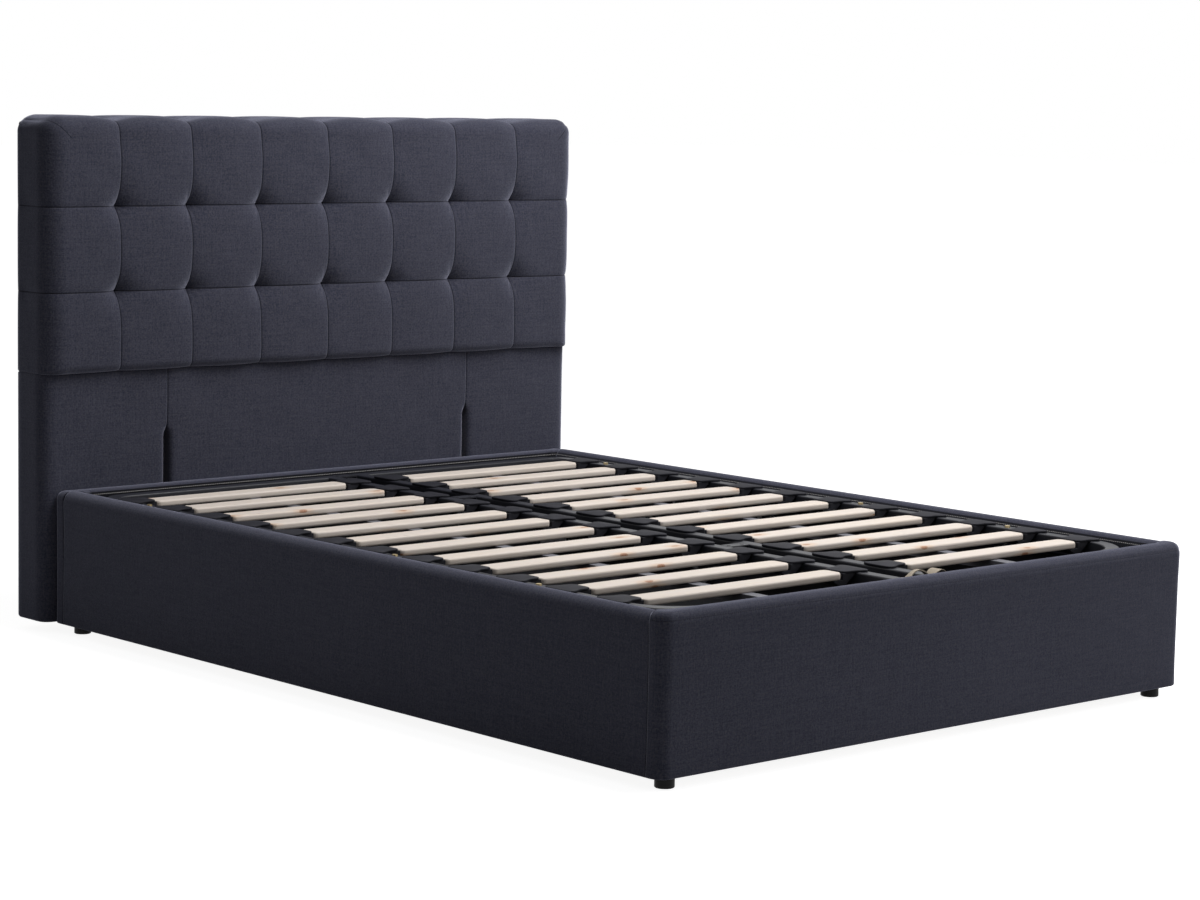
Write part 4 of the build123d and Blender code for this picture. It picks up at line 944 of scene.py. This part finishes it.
class BED_OT_rail_covers(bpy.types.Operator):
    """Cloth and foam over the four rails"""

    bl_idname = "bed.rail_covers"
    bl_label = "Rail covers"

    def execute(self, context):
        """The covers of the end rails turn the corners, and those of the sides run between them.

        At a corner seam the cover nearer the head sinks in, so its edge stays out of sight.
        """
        plain = upholstery("upholstery_sides", "rail")
        stitched = upholstery("upholstery_foot", "foot")
        proud, sunk = 0.0003, 0.0011
        foot_path = self.end_path(FOOT_Y, FOOT_SEAM_Y, 1, 0.030)
        head_path = self.end_path(HEAD_Y, HEAD_SEAM_Y, -1, 0.016)
        self.cover("foot_cover", *foot_path, (0.004, 0.320, 2.5), proud, stitched)
        self.cover("head_cover", *head_path, (0.0, 0.320, 2.5), sunk, plain)
        y = spread(FOOT_SEAM_Y, HEAD_SEAM_Y, 0.02, (FOOT_SEAM_Y, HEAD_SEAM_Y), 0.0015, 0.05)
        share = (y - y[0]) / (y[-1] - y[0])
        first_y, last_y = FOOT_Y + RAIL_WIDTH, HEAD_Y - RAIL_WIDTH
        inner_y = first_y + (last_y - first_y) * share
        for word, side in SIDES:
            outer = np.stack([np.full(len(y), side * RAIL_HALF), y], 1)
            inner = np.stack([np.full(len(y), side * (RAIL_HALF - RAIL_WIDTH)), inner_y], 1)
            if side > 0:
                outer, inner = outer[::-1], inner[::-1]
            sink = np.where(outer[:, 1] < 0, sunk, proud)
            self.cover(f"side_cover_{word}", outer, inner, (0.002, 0.314, 2.1), sink, plain)
        return {"FINISHED"}

    @staticmethod
    def end_path(outer_y, seam_y, way, radius):
        """Outer and inner lines of an end rail seen from above, from one seam to the other.

        The outer line is a quarter turn, the long straight and a quarter turn. The inner line
        is the straight inner edge, shared out evenly over the corners.
        """
        turn = np.linspace(0, QUARTER, 12)
        start = np.linspace(seam_y, outer_y + way * radius, 4)[:-1]
        arc_x = np.concatenate([np.full(3, -RAIL_HALF), -RAIL_HALF + radius * (1 - np.cos(turn))])
        arc_y = np.concatenate([start, outer_y + way * radius * (1 - np.sin(turn))])
        line = spread(-RAIL_HALF + radius, RAIL_HALF - radius, 0.02)[1:-1]
        x = np.concatenate([arc_x, line, -arc_x[::-1]])
        y = np.concatenate([arc_y, np.full(len(line), outer_y), arc_y[::-1]])
        inner_half, turned_half, line_half = RAIL_HALF - RAIL_WIDTH, 0.735, 0.76
        inner_arc = np.linspace(-inner_half, -turned_half, len(arc_x))
        inner_x = np.concatenate([inner_arc, line * (turned_half / line_half), -inner_arc[::-1]])
        outer = np.stack([x, y], 1)
        inner = np.stack([inner_x, np.full(len(x), outer_y + way * RAIL_WIDTH)], 1)
        return (outer, inner) if way > 0 else (outer[::-1], inner[::-1])

    @staticmethod
    def cover(name, outer, inner, crown, sink, finish):
        """A rail cover: its section carried along the outer line, each point set in towards the
        inner line by the section's distance.

        The ends sink in by an exponential of the distance to the seam, the stitched line draws
        the cloth in, and the face sways by a product of sines.
        """
        section = rail_section(*crown)
        edge_near, edge_both, sway_deep, seam_fall = 0.016, 0.028, 0.0010, 0.010
        crease_deep, crease_wide = 0.0007, 0.003
        across = inner - outer
        wide = np.linalg.norm(across, axis=1)
        unit = across / wide[:, None]
        # Distances in from the face keep their size near each edge and stretch between them
        near = section[:, 0][:, None]
        share = np.clip((near - edge_near) / (RAIL_WIDTH - edge_both), 0, 1)
        inset = near + (wide[None, :] - RAIL_WIDTH) * share
        flat = outer[None, :, :] + unit[None, :, :] * inset[..., None]
        height = np.repeat(section[:, 1][:, None], len(outer), 1)
        points = np.concatenate([flat, height[..., None]], -1)
        along = lengths(outer)
        rolled = sink * np.exp(-np.minimum(along, along[-1] - along) / seam_fall)
        # The underside and the lip inside stay where they are
        visible = (section[:, 0] < RAIL_WIDTH - 0.0001) & (section[:, 1] > RAIL_LOW + 0.001)
        visible = visible | (section[:, 1] > 0.33)
        long_wave, short_wave = np.sin(along * 3.1 + 1.2), np.sin(along[None, :] * 8.5 + height * 9)
        sway = sway_deep * (short_wave * long_wave[None, :] + 1)
        on_face = np.clip((0.32 - height) / 0.06, 0, 1) * np.clip((height - 0.03) / 0.05, 0, 1)
        outside = (section[:, 0] < 0.010)[:, None]
        crease = crease_deep * np.exp(-((height - STITCH_Z) / crease_wide) ** 2)
        crease = crease * (name == "foot_cover")
        shift = rolled[None, :] * visible[:, None] + (sway * on_face + crease) * outside
        normal = grid_normals(points)
        probe = normal[len(section) // 3, len(outer) // 2, :2]
        facing = 1.0 if np.dot(probe, -unit[len(outer) // 2]) > 0 else -1.0
        points = points - normal * facing * shift[..., None]
        cloth = lengths(section)
        stitch = cloth[np.argmin(np.abs(section[:, 1] - STITCH_Z) + (section[:, 0] > 0.02))]
        place = np.stack(np.broadcast_arrays(along[None, :], (cloth - stitch)[:, None]), -1)
        faces, ends = tube_faces(len(section), len(outer))
        piece = make_piece(
            name, points.reshape(-1, 3), faces, place.reshape(-1, 2), "Weave", finish, "base",
            [name], ends)


class BED_OT_slats(bpy.types.Operator):
    """Twelve planed slats in each half of the platform"""

    bl_idname = "bed.slats"
    bl_label = "Slats"

    def execute(self, context):
        """A slat is a rounded section carried along its length, which narrows by a quarter turn at
        either end. It springs up by a parabola and lies slightly askew."""
        finish = pine("pine_slats")
        half, thick, soft, corner, spring, askew = 0.029, 0.0075, 0.0045, 0.014, 0.0006, 0.0008
        middle, half_long = (SLAT_NEAR + SLAT_FAR) / 2, (SLAT_FAR - SLAT_NEAR) / 2
        turn = np.linspace(0, QUARTER, 8)
        inset = corner * (1 - np.sin(turn))
        end = SLAT_NEAR + corner * (1 - np.cos(turn))
        straight = np.linspace(SLAT_NEAR + 0.03, SLAT_FAR - 0.03, 12)
        along = np.concatenate([end, straight, (2 * middle - end)[::-1]])
        pinch = np.concatenate([inset, np.zeros(len(straight)), inset[::-1]])
        ring = soft_outline([[-half, -thick], [half, -thick], [half, thick], [-half, thick]], soft)
        # Points across the flat top, which lets the slat's top follow its spring
        flat = np.linspace(-0.022, 0.022, 7)[1:-1]
        top = np.stack([-flat, np.full(len(flat), thick)], 1)
        ring = np.insert(ring, len(ring) * 3 // 4, top, axis=0)
        girth = lengths(ring)
        y = ring[:, 0][:, None] * (1 - pinch[None, :] / half)
        z = np.repeat(ring[:, 1][:, None], len(along), 1)
        faces, ends = tube_faces(*y.shape)
        for word, side in SIDES:
            x = np.repeat(side * along[None, :], len(ring), 0)
            off_middle = (np.abs(x) - middle) / half_long
            points, places, all_faces, all_ends = [], [], [], []
            for number in range(SLAT_COUNT):
                sprung = spring * math.sin(number * 2.7 + side) * (1 - off_middle ** 2)
                skew = askew * math.sin(number * 4.1 + side * 2) * off_middle
                row_y = FIRST_SLAT + SLAT_PITCH * number
                slat = np.stack([x, y + row_y + skew, z + SLAT_Z + sprung], -1)
                points.append(slat.reshape(-1, 3))
                # Each slat shows another part of the grain
                shift = number * 0.731 + (side + 1) * 0.37
                places.append(np.stack(np.broadcast_arrays(
                    x * side + shift, girth[:, None] + shift * 0.41), -1).reshape(-1, 2))
                all_faces.append(faces + number * y.size)
                all_ends += [end_face + number * y.size for end_face in ends]
            make_piece(
                f"pine_slats_{word}", np.vstack(points), np.vstack(all_faces), np.vstack(places),
                "Grain", finish, "platform", [f"slats_{word}"], all_ends)
        return {"FINISHED"}


class BED_OT_holders(bpy.types.Operator):
    """Moulded holders of the slat ends, four rows of twelve"""

    bl_idname = "bed.holders"
    bl_label = "Slat holders"

    def execute(self, context):
        """A cap on the tube and a web under it, repeated at the slats' pitch."""
        plastic = moulded("moulding_holders", tuple(context.scene.bed_colours.moulding), 0.6)
        cap, cap_faces, cap_ends = self.cap()
        web, web_faces, web_ends = self.web()
        faces = np.vstack([cap_faces, web_faces + len(cap)])
        ends = cap_ends + [end + len(cap) for end in web_ends]
        shape = np.vstack([cap, web])
        shifts = [np.array([0, FIRST_SLAT + SLAT_PITCH * n, 0]) for n in range(SLAT_COUNT)]
        # Distances run from the tube's inner side towards the slat
        outer_x, inner_x = TUBE_FAR - TUBE_WIDTH, TUBE_NEAR + TUBE_WIDTH
        for row, start, way in (("outer", outer_x, -1), ("inner", inner_x, 1)):
            for word, side in SIDES:
                turned = shape.copy()
                turned[:, 0] = side * (start + way * shape[:, 0])
                every, all_faces, all_ends = copies(turned, faces, ends, shifts)
                make_piece(
                    f"holders_{row}_{word}", every, all_faces, every[:, :2], "Moulding", plastic,
                    "platform", [f"slat_holders_{row}_{word}"], all_ends)
        return {"FINISHED"}

    @staticmethod
    def cap():
        """Cap of a holder: a low dome on an outline that widens over the tube.

        A square grid, each concentric square of which is drawn onto a superellipse of exponent
        5. The height falls with the square of the ring, then round the rim and down its wall.
        """
        power, rim_radius, dome, wall, top_z = 5.0, 0.0015, 0.0018, 0.0052, 0.3390
        half_long, middle, half_slat, half_tube, widen = 0.035, 0.0025, 0.030, 0.043, 0.035
        flat = np.concatenate([np.linspace(0, 0.9, 7), [0.96, 1.0]])
        turn = np.linspace(0, QUARTER, 5)[1:]
        ring = np.concatenate([flat, 1 + np.arange(1, 6) * 0.02])
        lift = np.concatenate([dome * (1 - flat ** 2), rim_radius * (np.cos(turn) - 1), [-wall]])
        out = np.concatenate(
            [np.full(len(flat), -rim_radius), rim_radius * (np.sin(turn) - 1), [0.0]])
        line = np.concatenate([-ring[:0:-1], ring])
        across, along = np.meshgrid(line, line)
        size = np.maximum(np.abs(across), np.abs(along))
        safe = np.maximum(size, 1e-9)
        reach = np.abs(across / safe) ** power + np.abs(along / safe) ** power + 1e-12
        scaled = np.minimum(size, 1.0)
        drawn = reach ** (-1 / power) * scaled / safe
        edge = np.interp(size, ring, out) * scaled
        towards = middle + across * drawn * (half_long + edge)
        half = half_slat + (half_tube - half_slat) * ease((0.010 - towards) / widen)
        y = along * drawn * (half + edge)
        points = np.stack([towards, y, top_z + np.interp(size, ring, lift)], -1)
        rows, columns = towards.shape
        return points.reshape(-1, 3), grid_faces(rows, columns), [edge_ring(rows, columns)[::-1]]

    @staticmethod
    def web():
        """Web of a holder: down the tube's inner side, with a tongue under the slat.

        Its outline is carried over the width, and drawn in a little at both faces.
        """
        section = soft_outline(
            [[0.0005, 0.3345], [0.0005, 0.330], [0.033, 0.306], [0.0375, 0.306], [0.063, 0.317],
             [0.063, 0.3205], [0.0378, 0.3205], [0.0372, 0.3345]], 0.0009, 2)
        half, soft, drawn_in = 0.0285, 0.0007, 0.0006
        y = np.array([-half, soft - half, half - soft, half])
        shrink = np.array([drawn_in, 0, 0, drawn_in])
        away = section - section.mean(0)
        away = away / np.linalg.norm(away, axis=1, keepdims=True)
        flat = section[:, None, :] - away[:, None, :] * shrink[None, :, None]
        points = np.stack([flat[..., 0], np.broadcast_to(y, flat.shape[:2]), flat[..., 1]], -1)
        return points.reshape(-1, 3), *tube_faces(*flat.shape[:2])


def dress(nodes, finish):
    """Gives CAD nodes a finish."""
    for name in nodes:
        for slot in NODES[name].material_slots:
            slot.link = "OBJECT"
            slot.material = finish


def pair(*parts):
    """Names of the left and right nodes of each part."""
    return [f"{part}_{word}" for part in parts for word in dict(SIDES)]


class BED_OT_platform_steel(bpy.types.Operator):
    """The platform's two tube loops, and the finish of its bars, ties and brackets"""

    bl_idname = "bed.platform_steel"
    bl_label = "Platform steel"

    def execute(self, context):
        coat = powder_coat("coat_frame", tuple(context.scene.bed_colours.paint), 0.34)
        for word, side in SIDES:
            self.loop(word, side, coat)
        dress(["frame_ties", *pair("platform_bracket")], coat)
        dress(pair("mid_bar"), powder_coat("coat_bars", (0.10, 0.10, 0.115), 0.5))
        return {"FINISHED"}

    @staticmethod
    def loop(word, side, coat):
        """One closed loop of rectangular tube: bent at its outer corners, mitred at the centre.

        The tube's outer and inner lines run side by side, with quarter turns at the bends. Each
        point of the section lies between them by its share of the width.
        """
        foot_radius, head_radius, support, tube_soft = 0.140, 0.075, 0.003, 0.0032
        inner_x, between = 0.35, np.linspace(-0.8, 0.7, 8)
        turn = np.linspace(0, QUARTER, 17)
        near, far = 1 - np.sin(turn), 1 - np.cos(turn)
        lines = []
        for inset in (0.0, TUBE_WIDTH):
            low, high = TUBE_FOOT + inset, TUBE_HEAD - inset
            left, right = TUBE_NEAR + inset, TUBE_FAR - inset
            foot_bend, head_bend = foot_radius - inset, head_radius - inset
            lines.append(np.array([
                (left, low), (left + support, low), (inner_x, low),
                (right - foot_bend - support, low),
                *zip(right - foot_bend * near, low + foot_bend * far),
                (right, low + foot_bend + support), *((right, y) for y in between),
                (right, high - head_bend - support),
                *zip(right - head_bend * far, high - head_bend * near),
                (right - head_bend - support, high), (inner_x, high), (left + support, high),
                (left, high), (left, high - support), *((left, y) for y in between[::-1]),
                (left, low + support)]))
        section = soft_outline(
            [[0, TUBE_LOW], [TUBE_WIDTH, TUBE_LOW], [TUBE_WIDTH, TUBE_TOP], [0, TUBE_TOP]],
            tube_soft, 5)
        share = (section[:, 0] / TUBE_WIDTH)[:, None, None]
        flat = lines[0][None] * (1 - share) + lines[1][None] * share
        flat[..., 0] *= side
        height = np.repeat(section[:, 1][:, None], flat.shape[1], 1)
        points = np.concatenate([flat, height[..., None]], -1)
        place = np.broadcast_arrays(lengths(lines[0])[None, :], lengths(section)[:, None])
        faces = grid_faces(*height.shape, turn_rows=True, turn_columns=True)
        make_piece(
            f"tube_loop_{word}", points.reshape(-1, 3), faces, np.stack(place, -1).reshape(-1, 2),
            "Coat", coat, "platform", [f"frame_loop_{word}"])


class BED_OT_strap(bpy.types.Operator):
    """Webbing strap to lift the platform by, screwed across the centre gap"""

    bl_idname = "bed.strap"
    bl_label = "Pull strap"

    def execute(self, context):
        """A rounded section carried along the strap. Its height adds a power of a sine over the
        gap and over the grip, and its width runs smoothly through the places in the table."""
        middle_y, low_z = -1.042, 0.3349
        # Ends of the tab, of the bow over the gap, of the land, of the bow at the grip, and points
        stops, counts = (-0.044, -0.030, 0.030, 0.038, 0.078, 0.092), (4, 30, 3, 20, 4)
        x = np.concatenate([[stops[0]], *(
            np.linspace(first, last, count + 1)[1:]
            for first, last, count in zip(stops, stops[1:], counts))])
        z = np.full(len(x), low_z)
        for start, end, rise in ((*stops[1:3], 0.0138), (*stops[3:5], 0.0112)):
            inside = np.clip((x - start) / (end - start), 0, 1)
            z += rise * np.sin(inside * math.pi) ** 0.85
        # The strap gathers to a fold over the gap and spreads again beyond it
        wide = np.interp(x, [-0.044, -0.036, -0.026, 0.002, 0.022, 0.036, 0.046, 0.074, 0.092],
                         [0.023, 0.021, 0.012, 0.009, 0.012, 0.022, 0.028, 0.028, 0.026])
        wide = np.convolve(np.pad(wide, 3, mode="edge"), np.ones(7) / 7, "valid")
        thick = np.interp(wide, [0.009, 0.020], [0.0030, 0.0016])
        lean = np.interp(x, [-0.044, 0.0, 0.05, 0.092], [0.0, 0.002, 0.0, -0.001])
        slope = np.arctan2(np.gradient(z), np.gradient(x))
        ring = soft_outline([[-0.5, -0.5], [0.5, -0.5], [0.5, 0.5], [-0.5, 0.5]], 0.12)
        y = middle_y + lean[None, :] + ring[:, 0][:, None] * wide[None, :]
        over = ring[:, 1][:, None] * thick[None, :]
        along, height = x[None, :] - over * np.sin(slope), z[None, :] + over * np.cos(slope)
        points = np.stack([along, y, height], -1).reshape(-1, 3)
        faces, ends = tube_faces(*y.shape)
        make_piece(
            "webbing_strap", points, faces, points[:, :2], "Weave", strap_cloth("webbing_beige"),
            "platform", ["pull_strap"], ends)
        return {"FINISHED"}


class BED_OT_lift(bpy.types.Operator):
    """Finish of the lift arms, plates and gas springs"""

    bl_idname = "bed.lift"
    bl_label = "Lift"

    def execute(self, context):
        coat = powder_coat("coat_lift", (0.02, 0.02, 0.024), 0.38, 0.1)
        dress(pair("lift_base_plate", "upper_arm", "lower_arm"), coat)
        dress(pair("gas_cylinder"), powder_coat("coat_cylinder", (0.012, 0.012, 0.013), 0.16))
        dress(pair("gas_rod"), plated("chrome_rod", (0.62, 0.62, 0.64), 0.08))
        return {"FINISHED"}


class BED_OT_boards(bpy.types.Operator):
    """Finish of the boards, timber, feet and back cloth"""

    bl_idname = "bed.boards"
    bl_label = "Boards and feet"

    def execute(self, context):
        boards = [*pair("side_board"), "foot_board", "head_board", "headboard_board"]
        dress(boards, particle_board("chip_board_shaded_inside"))
        panels = [f"floor_panel_{place}" for place in ("foot", "middle", "head")]
        dress(panels, hardboard("lined_board"))
        dress(["headboard_frame", "centre_beam", "floor_ledgers"], softwood("sawn_timber"))
        dress(["headboard_back_cloth"], dust_cloth("dust_cloth"))
        dress(["corner_feet", "beam_feet"], moulded("moulding_feet", (0.01, 0.01, 0.01), 0.42))
        return {"FINISHED"}


class BED_OT_fasteners(bpy.types.Operator):
    """Finish of the brackets, bolts and pins"""

    bl_idname = "bed.fasteners"
    bl_label = "Fasteners"

    def execute(self, context):
        zinc = plated("zinc_clear", (0.6, 0.6, 0.62), 0.3)
        dress(["corner_bolts", "headboard_bolts", "base_plate_bolts"], zinc)
        dress(["base_pins", "bracket_pins", "strap_screws"], zinc)
        dress(["corner_brackets"], plated("steel_bare", (0.52, 0.52, 0.54), 0.35))
        dress(["frame_bolts"], plated("zinc_yellow", (0.62, 0.47, 0.2), 0.3, (0.5, 0.42, 0.3)))
        dress(["tie_screws"], powder_coat("screw_black", (0.012, 0.012, 0.014), 0.3))
        return {"FINISHED"}


class BED_OT_stage(bpy.types.Operator):
    """Camera, lamps, world and floor"""

    bl_idname = "bed.stage"
    bl_label = "Stage"

    def execute(self, context):
        scene = context.scene
        self.camera(scene)
        self.lamp("overhead", (0.6, -0.6, 3.1), (0.4, 0.1, 0.3), 2.2, 118)
        self.lamp("front_fill", (3.9, -4.2, 2.5), (0.2, 0.2, 0.5), 2.4, 72)
        self.world(scene)
        self.floor()
        scene.view_settings.view_transform = "Standard"
        return {"FINISHED"}

    @staticmethod
    def camera(scene):
        """A camera at the photograph's viewing angle: yaw, pitch and roll turn its axes."""
        place = np.array([-4.794, -5.325, 1.354])
        yaw, pitch, tilt = math.radians(42.28), math.radians(6.85), math.radians(1.19)
        right = np.array([math.cos(yaw), -math.sin(yaw), 0])
        level = np.array([math.sin(yaw), math.cos(yaw), 0])
        ahead = level * math.cos(pitch) - np.array([0, 0, math.sin(pitch)])
        up = np.cross(right, ahead)
        turned = math.cos(tilt) * right + math.sin(tilt) * up
        lifted = -math.sin(tilt) * right + math.cos(tilt) * up
        rows = np.eye(4)
        rows[:3, :4] = np.stack([turned, lifted, -ahead, place], 1)
        data = bpy.data.cameras.new("camera")
        data.lens, data.sensor_width = 93.46, 36.0
        data.clip_start, data.clip_end = 0.1, 200
        camera = bpy.data.objects.new("camera", data)
        camera.matrix_world = Matrix(rows.tolist())
        scene.collection.objects.link(camera)
        scene.camera = camera

    @staticmethod
    def lamp(name, place, aim, size, watts):
        """A round lamp of a size at a place, turned so that it shines at its aim."""
        data = bpy.data.lights.new(name, "AREA")
        data.shape, data.size, data.energy = "DISK", size, watts
        lamp = bpy.data.objects.new(name, data)
        away = np.array(place) - np.array(aim)
        away = away / np.linalg.norm(away)
        side = np.cross([0, 0.01, 1], away)
        side = side / np.linalg.norm(side)
        rows = np.eye(4)
        rows[:3, :4] = np.stack([side, np.cross(away, side), away, np.array(place)], 1)
        lamp.matrix_world = Matrix(rows.tolist())
        bpy.context.scene.collection.objects.link(lamp)

    @staticmethod
    def world(scene):
        """Soft even light, which the camera, gloss and glass see as white."""
        world = bpy.data.worlds.new("studio")
        scene.world = world
        world.use_nodes = True
        tree = world.node_tree
        tree.nodes.clear()
        rays = tree.nodes.new("ShaderNodeLightPath")
        seen = rays.outputs["Is Camera Ray"]
        for ray in ("Is Glossy Ray", "Is Transmission Ray"):
            either = tree.nodes.new("ShaderNodeMath")
            either.operation = "MAXIMUM"
            tree.links.new(seen, either.inputs[0])
            tree.links.new(rays.outputs[ray], either.inputs[1])
            seen = either.outputs[0]
        strength = tree.nodes.new("ShaderNodeMapRange")
        tree.links.new(seen, strength.inputs[0])
        soft_light, white = 0.21, 1.0
        strength.inputs[3].default_value, strength.inputs[4].default_value = soft_light, white
        back = tree.nodes.new("ShaderNodeBackground")
        back.inputs[0].default_value = (1, 1, 1, 1)
        tree.links.new(strength.outputs[0], back.inputs[1])
        out = tree.nodes.new("ShaderNodeOutputWorld")
        tree.links.new(back.outputs[0], out.inputs[0])

    @staticmethod
    def floor():
        """A wide pale floor that keeps a soft shadow and looks white elsewhere."""
        paint = Finish("floor_white")
        seen = paint.node("ShaderNodeLightPath")
        # The glossy and the transmission ray of the light path
        for output in (3, 6):
            seen = seen.maths("MAXIMUM", paint.node("ShaderNodeLightPath", out=output))
        faint = paint.noise(paint.object_place(), 0.7)
        shade = paint.mix(faint, (0.54, 0.54, 0.54), (0.57, 0.57, 0.57))
        glow = 0.9
        white = paint.node("ShaderNodeEmission", None, {0: (1, 1, 1), 1: seen * glow})
        matt = paint.node("ShaderNodeBsdfDiffuse", None, {0: shade})
        both = paint.node("ShaderNodeAddShader", None, {0: white, 1: matt})
        paint.node("ShaderNodeOutputMaterial", None, {0: both})
        wide = 40
        corners = [(-wide, -wide, 0), (wide, -wide, 0), (wide, wide, 0), (-wide, wide, 0)]
        mesh = bpy.data.meshes.new("floor")
        mesh.from_pydata(corners, [], [(0, 1, 2, 3)])
        mesh.materials.append(paint.material)
        floor = bpy.data.objects.new("floor", mesh)
        bpy.context.scene.collection.objects.link(floor)


OPERATORS = (
    BED_OT_stage, BED_OT_tufted_pad, BED_OT_lower_pads, BED_OT_rail_covers, BED_OT_slats,
    BED_OT_holders, BED_OT_platform_steel, BED_OT_strap, BED_OT_lift, BED_OT_boards,
    BED_OT_fasteners,
)


class BED_PT_panel(bpy.types.Panel):
    """Lists the bed's sizes, colours and steps"""

    bl_idname = "BED_PT_panel"
    bl_label = "Storage bed"
    bl_space_type = "VIEW_3D"
    bl_region_type = "UI"
    bl_category = "Bed"

    def draw(self, context):
        for group in (context.scene.bed_sizes, context.scene.bed_colours):
            for key in group.bl_rna.properties.keys():
                if key not in ("rna_type", "name"):
                    self.layout.prop(group, key)
        for operator in OPERATORS:
            self.layout.operator(operator.bl_idname)


CLASSES = (BedSizes, BedColours, *OPERATORS, BED_PT_panel)


def register():
    for item in CLASSES:
        bpy.utils.register_class(item)
    bpy.types.Scene.bed_sizes = bpy.props.PointerProperty(type=BedSizes)
    bpy.types.Scene.bed_colours = bpy.props.PointerProperty(type=BedColours)


def unregister():
    del bpy.types.Scene.bed_sizes
    del bpy.types.Scene.bed_colours
    for item in reversed(CLASSES):
        bpy.utils.unregister_class(item)


def main():
    register()
    for operator in OPERATORS:
        group, name = operator.bl_idname.split(".")
        getattr(getattr(bpy.ops, group), name)()


if __name__ == "__main__":
    main()
